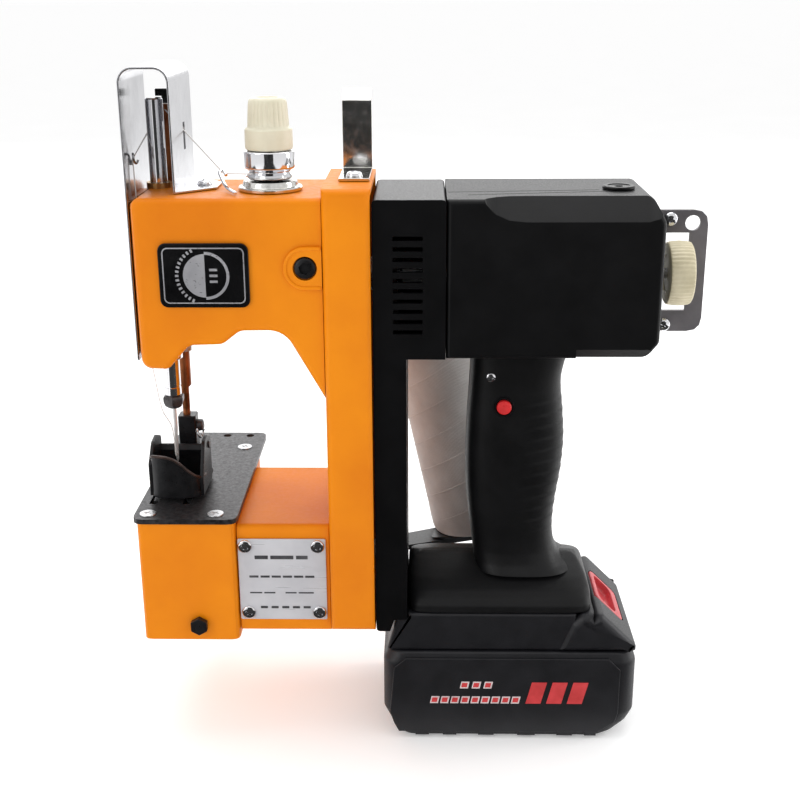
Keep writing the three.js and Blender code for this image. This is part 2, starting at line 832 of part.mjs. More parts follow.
// ---------------------------------------------------------------- feed and looper
function feedEccentric() {
  const throwY = 2;
  const cam = rod("x", 9, -105, -99, [throwY, LOWER_SHAFT.z], 24);
  const hub = rod("x", 8, -99.5, -94, [LOWER_SHAFT.y, LOWER_SHAFT.z]);
  return cam.add(hub).subtract(rod("x", LOWER_SHAFT.radius + GAP, -106, -93, [LOWER_SHAFT.y, LOWER_SHAFT.z]));
}

const FEED = { bottom: 98, top: 104, near: -15, far: -9 };

function feedBar() {
  const crossbar = block([-104, -100], [-17.5, 17.5], [FEED.bottom, FEED.top]);
  const prongs = [-17.5, 13.5].map((y) => block([-104, -100], [y, y + 4], [76, FEED.top - 1]));
  const beam = block([-125, -103], [FEED.near, FEED.far], [FEED.bottom, FEED.top]);
  return prongs.reduce((body, prong) => body.add(prong), crossbar.add(beam));
}

function feedDog() {
  const teeth = 8;
  const pitch = 22 / teeth;
  const side = [[-15, 111]];
  side.push([7, 111]);
  for (let i = teeth; i > 0; i -= 1) {
    side.push([-15 + i * pitch, 119.6]);
    side.push([-15 + (i - 1) * pitch, 121]);
  }
  const rows = FEED_SLOTS.map(([from, to]) => slab("x", side, from + 0.6, to - 0.6));
  const bridge = block([-131.4, -112.1], [FEED.near, FEED.far], [108, 112]);
  const stem = block([-125, -115], [FEED.near, FEED.far], [FEED.top + GAP, 109]);
  return rows.reduce((body, row) => body.add(row), bridge.add(stem));
}

const LOOPER_AXIS = { x: -124, z: 70 };

function looper() {
  const blade = slab(
    "y",
    [
      [-127, 66],
      [-121, 66],
      [-121.6, 97, 2],
      [-113, 105.6],
      [-111.6, 107.6],
      [-124.5, 105],
      [-127, 98],
    ],
    2,
    4.5,
  );
  return blade.add(rod("y", 4, -34.5, 30, [LOOPER_AXIS.x, LOOPER_AXIS.z], 16));
}

// ---------------------------------------------------------------- battery
const CASE_WALL = 2.4;
const LATCH = { x: 99.5, z: 62, width: 32, length: 20, thick: 6, angle: Math.PI / 4 };

// The lower case is an eight-sided box with its bottom edge cut back: [z, left, right, half width].
const CASE_LEVELS = [
  [0, -8, 97, 35],
  [3, -9.5, 102, 36],
  [9, -13, 108, BATTERY.half],
  [15, BATTERY.left, BATTERY.right, BATTERY.half],
  [42, BATTERY.left, BATTERY.right, BATTERY.half],
  [BATTERY.split, -13, 109, 35],
];

function eightSided(levels, inset) {
  const points = levels.flatMap(([z, left, right, half]) => {
    const [x0, x1, y1] = [left + inset, right - inset, half - inset];
    const corner = 8;
    return [-1, 1].flatMap((side) => [
      [x0 + corner, side * y1, z],
      [x1 - corner, side * y1, z],
      [x1, side * (y1 - corner), z],
      [x0, side * (y1 - corner), z],
    ]);
  });
  return wasm.Manifold.hull(points);
}

function batteryCaseLower() {
  const room = CASE_LEVELS.map(([z, ...rest], i) => [i === 0 ? CASE_WALL : z, ...rest]);
  room.push([BATTERY.split + 1, ...room.at(-1).slice(1)]);
  return eightSided(CASE_LEVELS, 0).subtract(eightSided(room, CASE_WALL));
}

// A block that lies in the battery's sloping shoulder, its outer face on the slope.
function latchBlock(grow, depth) {
  const [width, length] = [LATCH.width + grow, LATCH.length + grow];
  const geometry = new THREE.BoxGeometry(depth, width, length);
  geometry.translate(-depth / 2 + grow, 0, 0);
  geometry.rotateY(-LATCH.angle).translate(LATCH.x, 0, LATCH.z);
  return solid(geometry);
}

function batteryCaseUpper() {
  const top = FOOT.bottom - GAP;
  const bottom = BATTERY.split + GAP;
  const face = FOOT.right + 0.8;
  const lid = slab(
    "y",
    [
      [-14.3, bottom],
      [80, bottom],
      [80, top],
      [FOOT.left, top],
      [FOOT.left, COVER.lidTop - GAP],
      [-9.3, COVER.lidTop - GAP],
    ],
    -BATTERY.lidHalf,
    BATTERY.lidHalf,
    { round: 1.5 },
  );
  const shoulder = slab(
    "y",
    [
      [72, bottom],
      [BATTERY.right - 0.5, bottom],
      [BATTERY.right - 0.5, 51],
      [face, BATTERY.shoulder],
      [face, top],
      [72, top],
    ],
    -BATTERY.half + 1,
    BATTERY.half - 1,
    { round: 1.5 },
  );
  const room = slab(
    "y",
    [
      [-14.3 + CASE_WALL, bottom - 2],
      [BATTERY.right - CASE_WALL, bottom - 2],
      [face, top - CASE_WALL],
      [FOOT.left + CASE_WALL, top - CASE_WALL],
      [FOOT.left + CASE_WALL, COVER.lidTop - CASE_WALL - 1],
      [-7.8, COVER.lidTop - CASE_WALL - 1],
    ],
    -BATTERY.lidHalf + CASE_WALL,
    BATTERY.lidHalf - CASE_WALL,
  );
  return lid.add(shoulder).subtract(room).subtract(latchBlock(0.8, 14));
}

const batteryLatch = () => latchBlock(0, LATCH.thick);

function cellPack() {
  const [radius, pitch, columns, layers] = [9.15, 19.2, 5, [12.4, 31.8]];
  const left = (BATTERY.left + BATTERY.right) / 2 - (pitch * (columns - 1)) / 2;
  const right = left + pitch * (columns - 1);
  let pack = block([left, right], [-28, 28], [layers[0], layers[1]]);
  for (const z of layers) {
    for (let i = 0; i < columns; i += 1) pack = pack.add(rod("y", radius, -32.5, 32.5, [left + i * pitch, z], 10));
  }
  return pack;
}

// ---------------------------------------------------------------- thread stand
// The stand is drawn upright about its own foot and leans with the cone's axis.
const leaning = (shape) => shape.rotate([0, CONE.lean, 0]).translate([CONE.x, CONE.y, CONE.z]);

function threadTray() {
  const half = 27;
  const square = [
    [-half, -half, 4],
    [half, -half, 4],
    [half, half, 4],
    [-half, half, 4],
  ];
  const plate = leaning(slab("z", square, -1.6, 0).rotate([0, 0, -18.4]));
  const post = leaning(rod("z", 7, -11, -1, [0, 0]));
  const arm = slab(
    "z",
    [
      [-38, COLUMN.far + GAP],
      [-24, COLUMN.far + GAP],
      [-24, 42, 6],
      [44, 66, 6],
      [36, 84, 6],
      [-38, 50, 6],
    ],
    64,
    67,
  );
  const flange = block([-38, -24], [COLUMN.far + GAP, COLUMN.far + 3], [64, 96]);
  return arm.add(flange).add(post).add(plate);
}

const threadSpindle = () => leaning(turned([[0, GAP], [8, GAP], [8, 2.4], [3.5, 2.4], [3.5, 176], [0, 178]], [0, 0], 12));

function threadCone() {
  const profile = [
    [9, 3],
    [CONE.radius - 2, 3],
    [CONE.radius, 6],
    [CONE.topRadius, CONE.height],
    [CONE.topRadius - 2, CONE.height + 2],
    [9, CONE.height + 2],
    [9, 3],
  ];
  return leaning(turned(profile, [0, 0], 32));
}

// ---------------------------------------------------------------- assembly
piece("head_casting", headCasting(), YELLOW_PAINT);
piece("column_casting", columnCasting(), YELLOW_PAINT);
piece("arm_casting", armCasting(), YELLOW_PAINT);
piece("looper_housing", looperHousing(), YELLOW_PAINT);
piece("bed_plate", bedPlate(), DARK_STEEL);
piece("badge", badge(), BLACK_PLASTIC);
piece("label_plate", labelPlate(), SILVER_LABEL);
piece("clamp_bolt", clampBolt(), DARK_STEEL);
piece("hex_bolt", hexBolt(), DARK_STEEL);
piece("strap_guard", strapGuard(), CHROME);
piece("thread_guide", threadGuide(), CHROME);
piece("wire_hook", wireHook(), CHROME);
piece("tension_base", tensionBase(), CHROME);
piece("tension_cup", tensionCup(), CHROME);
piece("tension_spring", tensionSpring(), STEEL);
piece("tension_nut", tensionNut(), CREAM_PLASTIC);
piece("belt_cover", beltCover(), BLACK_PLASTIC);
piece("housing_half_near", housingHalf("near"), BLACK_PLASTIC);
piece("housing_half_far", housingHalf("far"), BLACK_PLASTIC);
piece("housing_cap", housingCap(), BLACK_PLASTIC);
piece("rear_plate", rearPlate(), GREY_STEEL);
piece("power_button", powerButton(), RED_PLASTIC);
piece("power_switch", powerSwitch(), DARK_PLASTIC);
piece("control_board", controlBoard(), DARK_PLASTIC);
piece("motor_can", motorCan(), STEEL);
piece("motor_armature", motorArmature(), STEEL);
piece("handwheel", handwheel(), CREAM_PLASTIC);
piece("shaft_coupling", shaftCoupling(), ALUMINIUM);
piece("main_shaft", mainShaft(), STEEL);
piece("upper_pulley", pulley(MAIN_SHAFT), ALUMINIUM);
piece("timing_belt", timingBelt(), RUBBER);
piece("lower_pulley", pulley(LOWER_SHAFT), ALUMINIUM);
piece("lower_shaft", lowerShaft(), STEEL);
piece("main_shaft_bearing", bearing(MAIN_SHAFT.z, -43.5, -36, 11), STEEL);
piece("lower_shaft_bearing", bearing(LOWER_SHAFT.z, -43.5, -36, 11), STEEL);
piece("looper_side_bearing", bearing(LOWER_SHAFT.z, -93, -86.5, 10.4), STEEL);
piece("needle_crank", needleCrank(), STEEL);
piece("needle_bar_yoke", needleBarYoke(), STEEL);
piece("slider_block", sliderBlock(), STEEL);
piece("needle_bar", needleBar(), CHROME);
piece("needle_bar_bush_upper", needleBarBush(264, 277.5), STEEL);
piece("needle_bar_bush_lower", needleBarBush(191, 206), STEEL);
piece("needle_clamp_nut", needleClampNut(), DARK_STEEL);
piece("needle", needle(), CHROME);
piece("presser_bar", presserBar(), COPPER);
piece("presser_spring", presserSpring(), STEEL);
piece("presser_bar_bush", presserBush(), STEEL);
piece("thread_hook", threadHook(), DARK_STEEL);
piece("presser_foot", presserFoot(), DARK_STEEL);
piece("feed_eccentric", feedEccentric(), STEEL);
piece("feed_bar", feedBar(), STEEL);
piece("feed_dog", feedDog(), STEEL);
piece("looper", looper(), STEEL);
piece("battery_case_lower", batteryCaseLower(), DARK_PLASTIC);
piece("battery_case_upper", batteryCaseUpper(), DARK_PLASTIC);
piece("battery_latch", batteryLatch(), RED_PLASTIC);
piece("cell_pack", cellPack(), CELL_WRAP);
piece("thread_tray", threadTray(), BLACK_PLASTIC);
piece("thread_spindle", threadSpindle(), STEEL);
piece("thread_cone", threadCone(), WHITE_THREAD);

machine.position.x = -DATUM_TO_ORIGIN;

export default machine;
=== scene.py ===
"""Looks of the bag closer sewing machine: every piece that shows, its materials, the studio and the camera.
Places are in millimetres from the drawing datum; at() turns them into the frame, in metres."""
import math

import bmesh
import bpy
from mathutils import Matrix, Vector


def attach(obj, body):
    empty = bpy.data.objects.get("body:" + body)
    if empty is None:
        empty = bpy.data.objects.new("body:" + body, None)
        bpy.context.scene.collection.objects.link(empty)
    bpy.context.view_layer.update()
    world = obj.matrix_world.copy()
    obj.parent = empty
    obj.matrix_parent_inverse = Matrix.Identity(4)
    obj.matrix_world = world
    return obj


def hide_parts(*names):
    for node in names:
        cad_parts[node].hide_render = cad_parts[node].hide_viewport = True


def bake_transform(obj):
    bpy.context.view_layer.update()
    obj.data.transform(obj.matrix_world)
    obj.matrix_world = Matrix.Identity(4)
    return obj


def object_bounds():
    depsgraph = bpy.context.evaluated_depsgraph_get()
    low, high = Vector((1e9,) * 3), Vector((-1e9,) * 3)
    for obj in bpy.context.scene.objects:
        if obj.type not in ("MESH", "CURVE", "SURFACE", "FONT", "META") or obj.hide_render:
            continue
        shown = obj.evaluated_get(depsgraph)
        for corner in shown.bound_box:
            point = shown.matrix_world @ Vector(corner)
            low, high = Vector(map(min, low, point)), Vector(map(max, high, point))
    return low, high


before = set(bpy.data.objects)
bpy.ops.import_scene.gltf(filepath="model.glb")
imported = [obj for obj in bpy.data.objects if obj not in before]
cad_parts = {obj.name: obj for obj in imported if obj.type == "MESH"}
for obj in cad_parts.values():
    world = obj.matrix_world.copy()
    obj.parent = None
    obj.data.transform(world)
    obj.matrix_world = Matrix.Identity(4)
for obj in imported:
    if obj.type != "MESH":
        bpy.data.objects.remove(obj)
cad_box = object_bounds()

MM = 0.001
DATUM = 47.5  # how far right of the drawing datum the frame's origin lies
LEAN = math.radians(-15)  # of the cone and its spindle


def at(x, y, z):
    return Vector(((x - DATUM) * MM, y * MM, z * MM))


# ---------------------------------------------------------------- materials
def nodes_of(name):
    made = bpy.data.materials.new(name)
    made.use_nodes = True
    tree = made.node_tree
    shader = tree.nodes["Principled BSDF"]
    return made, tree, shader


def noise(tree, scale, detail=4.0, stretch=(1, 1, 1), roughness=0.55):
    place = tree.nodes.new("ShaderNodeTexCoord")
    turn = tree.nodes.new("ShaderNodeMapping")
    turn.inputs["Scale"].default_value = stretch
    texture = tree.nodes.new("ShaderNodeTexNoise")
    texture.inputs["Scale"].default_value = scale
    texture.inputs["Detail"].default_value = detail
    texture.inputs["Roughness"].default_value = roughness
    tree.links.new(place.outputs["Object"], turn.inputs["Vector"])
    tree.links.new(turn.outputs["Vector"], texture.inputs["Vector"])
    return texture.outputs["Fac"]


def ramp(tree, value, stops):
    found = tree.nodes.new("ShaderNodeValToRGB")
    band = found.color_ramp
    while len(band.elements) < len(stops):
        band.elements.new(0.5)
    for element, (place, colour) in zip(band.elements, stops):
        element.position = place
        element.color = (*colour, 1)
    tree.links.new(value, found.inputs["Fac"])
    return found.outputs["Color"]


def bump(tree, shader, value, distance, strength=1.0, after=None):
    made = tree.nodes.new("ShaderNodeBump")
    made.inputs["Distance"].default_value = distance
    made.inputs["Strength"].default_value = strength
    tree.links.new(value, made.inputs["Height"])
    if after is not None:
        tree.links.new(after, made.inputs["Normal"])
    tree.links.new(made.outputs["Normal"], shader.inputs["Normal"])
    return made.outputs["Normal"]


def spread(tree, value, low, high):
    made = tree.nodes.new("ShaderNodeMapRange")
    made.inputs["From Min"].default_value = 0.3
    made.inputs["From Max"].default_value = 0.7
    made.inputs["To Min"].default_value = low
    made.inputs["To Max"].default_value = high
    tree.links.new(value, made.inputs["Value"])
    return made.outputs["Result"]


def finish(name, dark, light, rough, metal=0.0, patch=30.0, grain=900.0, depth=0.00003, strength=0.5,
           stretch=(1, 1, 1), specular=0.5):
    """One stuff: its colour drifts between dark and light, a finer grain gives roughness and relief."""
    made, tree, shader = nodes_of(name)
    broad = noise(tree, patch, 5.0)
    fine = noise(tree, grain, 3.0, stretch)
    tree.links.new(ramp(tree, broad, [(0.32, dark), (0.68, light)]), shader.inputs["Base Color"])
    tree.links.new(spread(tree, fine, *rough), shader.inputs["Roughness"])
    shader.inputs["Metallic"].default_value = metal
    shader.inputs["Specular IOR Level"].default_value = specular
    bump(tree, shader, fine, depth, strength)
    return made


YELLOW = finish("yellow_paint", (0.66, 0.172, 0.0004), (0.76, 0.232, 0.0008), (0.38, 0.52), patch=16,
                grain=420, depth=0.00006, strength=0.32, specular=0.16)
BLACK = finish("black_plastic", (0.0022, 0.0022, 0.0026), (0.0042, 0.0042, 0.0048), (0.36, 0.52), patch=60,
               grain=1500, depth=0.00005, strength=0.5, specular=0.2)
GRIP_BLACK = finish("grip_plastic", (0.0026, 0.0026, 0.003), (0.0048, 0.0048, 0.0055), (0.38, 0.56),
                    patch=80, grain=1300, depth=0.00007, strength=0.55, specular=0.26)
BATTERY_BLACK = finish("battery_plastic", (0.006, 0.006, 0.0082), (0.0105, 0.0105, 0.0135), (0.40, 0.58),
                       patch=90, grain=1300, depth=0.00006, strength=0.55, specular=0.46)
COVER_BLACK = finish("cover_plastic", (0.0020, 0.0020, 0.0024), (0.0036, 0.0036, 0.0042), (0.30, 0.46),
                     patch=60, grain=1500, depth=0.00004, strength=0.45, specular=0.2)
CHROME = finish("chrome", (0.66, 0.66, 0.68), (0.78, 0.78, 0.80), (0.04, 0.11), metal=1.0, patch=25,
                grain=160, depth=0.00005, strength=0.06)
STRAP_CHROME = finish("strap_chrome", (0.46, 0.46, 0.48), (0.60, 0.60, 0.62), (0.14, 0.24), metal=1.0,
                      patch=25, grain=160, depth=0.00005, strength=0.06)
SMEARED_CHROME = finish("worn_chrome", (0.48, 0.47, 0.44), (0.82, 0.81, 0.79), (0.06, 0.24), metal=1.0,
                        patch=120, grain=260, depth=0.00008, strength=0.16)
STEEL = finish("ground_steel", (0.42, 0.42, 0.43), (0.58, 0.58, 0.59), (0.22, 0.38), metal=1.0, patch=50,
               grain=900, depth=0.00003, strength=0.3, stretch=(1, 1, 0.1))
BRIGHT_STEEL = finish("bright_steel", (0.70, 0.70, 0.70), (0.82, 0.82, 0.82), (0.3, 0.42), metal=0.5,
                      patch=90)
DARK_STEEL = finish("black_oxide", (0.006, 0.006, 0.007), (0.020, 0.020, 0.022), (0.26, 0.42), metal=0.45,
                    patch=120, grain=1100, depth=0.00004, strength=0.4, specular=0.4)
BED_STEEL = finish("bed_steel", (0.014, 0.0135, 0.015), (0.062, 0.060, 0.064), (0.30, 0.5), metal=0.6,
                   patch=420, grain=1000, depth=0.00004, strength=0.5)
GREY_PLATE = finish("grey_plate", (0.105, 0.098, 0.104), (0.165, 0.155, 0.164), (0.40, 0.56), metal=0.25,
                    patch=60, grain=1200, depth=0.00004, strength=0.5)
COPPER = finish("coppered_steel", (0.16, 0.045, 0.012), (0.34, 0.11, 0.030), (0.26, 0.40), metal=0.6,
                patch=110, grain=700, depth=0.00003, strength=0.4, stretch=(1, 1, 0.15))
BRONZE = finish("bronze", (0.42, 0.27, 0.10), (0.56, 0.38, 0.16), (0.26, 0.4), metal=1.0, patch=90, grain=900)
CREAM = finish("cream_plastic", (0.60, 0.56, 0.42), (0.68, 0.64, 0.50), (0.32, 0.44), patch=90, grain=700,
               depth=0.00003, strength=0.35, specular=0.45)
WHEEL_CREAM = finish("wheel_plastic", (0.52, 0.46, 0.30), (0.68, 0.61, 0.43), (0.38, 0.52), patch=110,
                     grain=800, depth=0.00004, strength=0.45)
RED = finish("red_plastic", (0.50, 0.008, 0.010), (0.66, 0.016, 0.018), (0.26, 0.4), patch=150, grain=900)
LATCH_RED = finish("latch_plastic", (0.46, 0.035, 0.045), (0.60, 0.07, 0.08), (0.36, 0.5), patch=120,
                   grain=900, depth=0.00004, strength=0.4)
RUBBER = finish("belt_rubber", (0.008, 0.008, 0.009), (0.016, 0.016, 0.017), (0.6, 0.75), patch=90, grain=900)
BOARD = finish("circuit_board", (0.01, 0.07, 0.03), (0.015, 0.11, 0.05), (0.3, 0.45), patch=300, grain=1500)
WRAP = finish("cell_wrap", (0.02, 0.12, 0.22), (0.03, 0.18, 0.30), (0.25, 0.4), patch=90, grain=900)
ALUMINIUM = finish("machined_aluminium", (0.55, 0.56, 0.57), (0.70, 0.71, 0.72), (0.24, 0.38), metal=1.0,
                   patch=70, grain=900, stretch=(0.1, 1, 1))
TRAY = finish("tray_paint", (0.008, 0.008, 0.009), (0.018, 0.018, 0.020), (0.30, 0.46), patch=70,
              grain=1000, depth=0.00004, strength=0.4)
LABEL = finish("label_sheet", (0.54, 0.54, 0.57), (0.70, 0.70, 0.73), (0.26, 0.42), metal=0.25, patch=28,
               grain=500, depth=0.00002, strength=0.2, stretch=(0.06, 1, 1))
BADGE_BLACK = finish("badge_enamel", (0.0022, 0.0022, 0.0026), (0.0045, 0.0045, 0.005), (0.12, 0.24),
                     patch=60, grain=600, depth=0.00002, strength=0.2, specular=0.3)
BADGE_SILVER = finish("badge_silver", (0.50, 0.50, 0.53), (0.66, 0.66, 0.69), (0.26, 0.4), metal=0.7,
                      patch=60, grain=700)
INK = finish("plate_ink", (0.03, 0.03, 0.034), (0.08, 0.08, 0.088), (0.4, 0.55), patch=120, grain=900)
RED_INK = finish("red_print", (0.48, 0.02, 0.022), (0.60, 0.035, 0.04), (0.42, 0.56), patch=150, grain=1200)
PALE_INK = finish("pale_print", (0.52, 0.42, 0.42), (0.66, 0.56, 0.56), (0.42, 0.56), patch=150, grain=1200)


def thread_finish(name, dark, light, turns, relief):
    """Wound or twisted thread: fine even turns with fuzz."""
    made, tree, shader = nodes_of(name)
    place = tree.nodes.new("ShaderNodeTexCoord")
    lay = tree.nodes.new("ShaderNodeMapping")
    lay.inputs["Rotation"].default_value = (0, LEAN, 0)
    wave = tree.nodes.new("ShaderNodeTexWave")
    wave.wave_type = "BANDS"
    wave.bands_direction = "Z"
    wave.inputs["Scale"].default_value = turns
    wave.inputs["Distortion"].default_value = 2.2
    wave.inputs["Detail"].default_value = 2.0
    wave.inputs["Detail Scale"].default_value = 1.4
    tree.links.new(place.outputs["Object"], lay.inputs["Vector"])
    tree.links.new(lay.outputs["Vector"], wave.inputs["Vector"])
    fuzz = noise(tree, 900.0, 5.0)
    patches = noise(tree, 45.0, 4.0)
    tree.links.new(ramp(tree, patches, [(0.3, dark), (0.7, light)]), shader.inputs["Base Color"])
    shader.inputs["Roughness"].default_value = 0.85
    shader.inputs["Sheen Weight"].default_value = 0.25
    shader.inputs["Specular IOR Level"].default_value = 0.2
    first = bump(tree, shader, wave.outputs["Fac"], relief, 0.5)
    bump(tree, shader, fuzz, relief * 0.6, 0.6, first)
    return made


CONE_THREAD = thread_finish("cone_thread", (0.50, 0.47, 0.45), (0.68, 0.66, 0.64), 420.0, 0.0003)
THREAD = thread_finish("sewing_thread", (0.74, 0.73, 0.71), (0.86, 0.85, 0.83), 900.0, 0.0001)


# ---------------------------------------------------------------- shape helpers
def rounded(points, steps=7):
    """Corners [a, b] or [a, b, radius] as a dense outline that turns anticlockwise."""
    loop = []
    for i, point in enumerate(points):
        corner = Vector(point[:2])
        radius = point[2] if len(point) > 2 else 0
        if radius <= 0:
            loop.append(corner)
            continue
        before = (Vector(points[i - 1][:2]) - corner).normalized()
        after = (Vector(points[(i + 1) % len(points)][:2]) - corner).normalized()
        half = before.angle(after) / 2
        centre = corner + (before + after).normalized() * (radius / math.sin(half))
        first = corner + before * (radius / math.tan(half)) - centre
        turn = math.pi - 2 * half
        if before.x * after.y - before.y * after.x > 0:
            turn = -turn
        for k in range(steps + 1):
            loop.append(centre + Matrix.Rotation(turn * k / steps, 2) @ first)
    area = sum(loop[i - 1].x * p.y - loop[i - 1].y * p.x for i, p in enumerate(loop))
    return loop if area > 0 else loop[::-1]


def rect(left, low, right, high, *corner):
    """The outline of a rectangle, with a corner radius if one is given."""
    return [[left, low, *corner], [right, low, *corner], [right, high, *corner], [left, high, *corner]]


def eased(before, start, stop, after, t):
    """A place between start and stop on a smooth line through all four values."""
    return 0.5 * (2 * start + (stop - before) * t + (2 * before - 5 * start + 4 * stop - after) * t * t
                  + (3 * start - before - 3 * stop + after) * t ** 3)


def inset(loop, distance):
    """The outline pulled in by a distance, with its corners kept."""
    moved = []
    for i, point in enumerate(loop):
        into = (point - loop[i - 1]).normalized()
        away = (loop[(i + 1) % len(loop)] - point).normalized()
        mitre = Vector((-into.y - away.y, into.x + away.x))
        moved.append(point + mitre * (distance / max(mitre.length_squared / 2, 0.3)))
    return moved


def on_slope(along, y, out):
    """A place on the battery's 45 degree slope."""
    return at(99.5 + (along + out) * math.sqrt(0.5), y, 62 + (out - along) * math.sqrt(0.5))


PLACES = {"x": lambda a, b, t: at(t, a, b), "y": lambda a, b, t: at(a, t, b), "z": lambda a, b,
          t: at(a, b, t), "slope": on_slope}


def new_object(name, mesh):
    made = bpy.data.objects.new(name, mesh)
    bpy.context.scene.collection.objects.link(made)
    return made


def from_bmesh(bm):
    bmesh.ops.remove_doubles(bm, verts=bm.verts, dist=1e-7)
    bmesh.ops.recalc_face_normals(bm, faces=bm.faces)
    mesh = bpy.data.meshes.new("shape")
    bm.to_mesh(mesh)
    bm.free()
    return new_object("shape", mesh)


def skin(rings):
    """A closed skin over rings of points that all have the same count."""
    bm = bmesh.new()
    rows = [[bm.verts.new(p) for p in ring] for ring in rings]
    count = len(rows[0])
    for lower, upper in zip(rows, rows[1:]):
        for i in range(count):
            j = (i + 1) % count
            bm.faces.new((lower[i], lower[j], upper[j], upper[i]))
    bm.faces.new(rows[0][::-1])
    bm.faces.new(rows[-1])
    return from_bmesh(bm)


def prism(axis, points, low, high, rim=0.0, far_rim=None, steps=7):
    """An outline along an axis with its two rims rounded."""
    loop = rounded(points, steps)
    far_rim = rim if far_rim is None else far_rim
    put = PLACES[axis]
    rings = []
    for end, inward, radius in ((low, 1, rim), (high, -1, far_rim)):
        arc = []
        count = 5 if radius > 0 else 1
        for k in range(count):
            turn = math.pi / 2 * k / max(count - 1, 1)
            depth = radius * (1 - math.sin(turn))
            back = radius * (1 - math.cos(turn))
            arc.append([put(p.x, p.y, end + inward * back) for p in inset(loop, depth)])
        # turn 0 is the flat end with its outline pulled in, the last is the full outline
        rings.append(arc if inward > 0 else arc[::-1])
    return skin(rings[0] + rings[1])


def lathe(profile, base, direction=(0, 0, 1), around=48, wobble=None):
    """A turned piece: profile is [radius, height] along direction, and a closed one is a ring.

    wobble(angle, height) scales the radius.
    """
    axis = Vector(direction).normalized()
    side = axis.orthogonal().normalized()
    other = axis.cross(side)
    bm = bmesh.new()
    rows = []
    closed = list(profile[0]) == list(profile[-1])
    for radius, height in profile[:-1] if closed else profile:
        middle = at(*base) + axis * height * MM
        if radius < 1e-6:
            rows.append([bm.verts.new(middle)])
            continue
        row = []
        for i in range(around):
            turn = 2 * math.pi * i / around
            r = radius * MM * (wobble(turn, height) if wobble else 1)
            row.append(bm.verts.new(middle + side * r * math.cos(turn) + other * r * math.sin(turn)))
        rows.append(row)
    if closed:
        rows.append(rows[0])
    for lower, upper in zip(rows, rows[1:]):
        for i in range(around):
            j = (i + 1) % around
            corners = [lower[i % len(lower)], lower[j % len(lower)], upper[j % len(upper)],
                       upper[i % len(upper)]]
            corners = list(dict.fromkeys(corners))
            if len(corners) > 2:
                bm.faces.new(corners)
    for row in () if closed else (rows[0], rows[-1]):
        if len(row) > 1:
            bm.faces.new(row)
    return from_bmesh(bm)


def tube(points, radius, sides=8, smooth=6):
    """A round strand along a smooth line through points (mm)."""
    line = []
    places = [at(*p) for p in points]
    for i in range(len(places) - 1):
        p0, p1, p2, p3 = (places[max(i - 1, 0)], places[i], places[i + 1],
                          places[min(i + 2, len(places) - 1)])
        for k in range(smooth):
            line.append(eased(p0, p1, p2, p3, k / smooth))
    line.append(places[-1])
    rings = []
    side = (line[1] - line[0]).orthogonal().normalized()
    for i, middle in enumerate(line):
        along = (line[min(i + 1, len(line) - 1)] - line[max(i - 1, 0)]).normalized()
        side = (side - along * side.dot(along)).normalized()
        other = along.cross(side)
        rings.append([middle + (side * math.cos(a) + other * math.sin(a)) * radius * MM
                      for a in (2 * math.pi * k / sides for k in range(sides))])
    return skin(rings)


def shaped(obj, *tools, operation="DIFFERENCE"):
    """obj after a boolean with each tool; the tools go."""
    for tool in tools:
        made = obj.modifiers.new("cut", "BOOLEAN")
        made.operation = operation
        made.solver = "EXACT"
        made.object = tool
    return settled(obj, tools)


def settled(obj, spare=()):
    """Applies obj's modifiers."""
    graph = bpy.context.evaluated_depsgraph_get()
    mesh = bpy.data.meshes.new_from_object(obj.evaluated_get(graph))
    obj.modifiers.clear()
    obj.data = mesh
    for tool in spare:
        bpy.data.objects.remove(tool)
    return obj


def bevelled(obj, width, angle=30, segments=3):
    made = obj.modifiers.new("rim", "BEVEL")
    made.width = width * MM
    made.segments = segments
    made.limit_method = "ANGLE"
    made.angle_limit = math.radians(angle)
    made.use_clamp_overlap = True
    return settled(obj)


def joined(parts):
    """Several meshes as one piece."""
    bm = bmesh.new()
    for part in parts:
        part.data.transform(part.matrix_world)
        bm.from_mesh(part.data)
        bpy.data.objects.remove(part)
    mesh = bpy.data.meshes.new("shape")
    bm.to_mesh(mesh)
    bm.free()
    return new_object("shape", mesh)


def piece(obj, name, body, material, replaces=(), sharp=32):
    obj.name = name
    mesh = obj.data
    mesh.name = name
    mesh.materials.clear()
    mesh.materials.append(material)
    for face in mesh.polygons:
        face.use_smooth = True
    mesh.set_sharp_from_angle(angle=math.radians(sharp))
    even = obj.modifiers.new("even normals", "WEIGHTED_NORMAL")
    even.keep_sharp = True
    even.mode = "FACE_AREA"
    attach(obj, body)
    if replaces:
        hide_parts(*([replaces] if isinstance(replaces, str) else replaces))
    return obj


def refined(node, name, body, material, width=0.5, angle=30, within=None):
    """A copy of a CAD node with facets merged and edges broken; within trims it to a rounder block."""
    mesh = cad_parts[node].data.copy()
    bm = bmesh.new()
    bm.from_mesh(mesh)
    bmesh.ops.remove_doubles(bm, verts=bm.verts, dist=1e-6)
    bmesh.ops.dissolve_limit(bm, angle_limit=math.radians(1.5), verts=bm.verts, edges=bm.edges)
    bm.to_mesh(mesh)
    bm.free()
    obj = new_object(name, mesh)
    if within:
        shaped(obj, within, operation="INTERSECT")
    if width:
        bevelled(obj, width, angle)
    return piece(obj, name, body, material, node, sharp=38)


def box_tool(x, y, z):
    return prism("z", rect(x[0], y[0], x[1], y[1]), z[0], z[1])


def rod_tool(axis, radius, low, high, centre, around=32):
    turns = [2 * math.pi * i / around for i in range(around)]
    loop = [[centre[0] + radius * math.cos(t), centre[1] + radius * math.sin(t)] for t in turns]
    return prism(axis, loop, low, high)


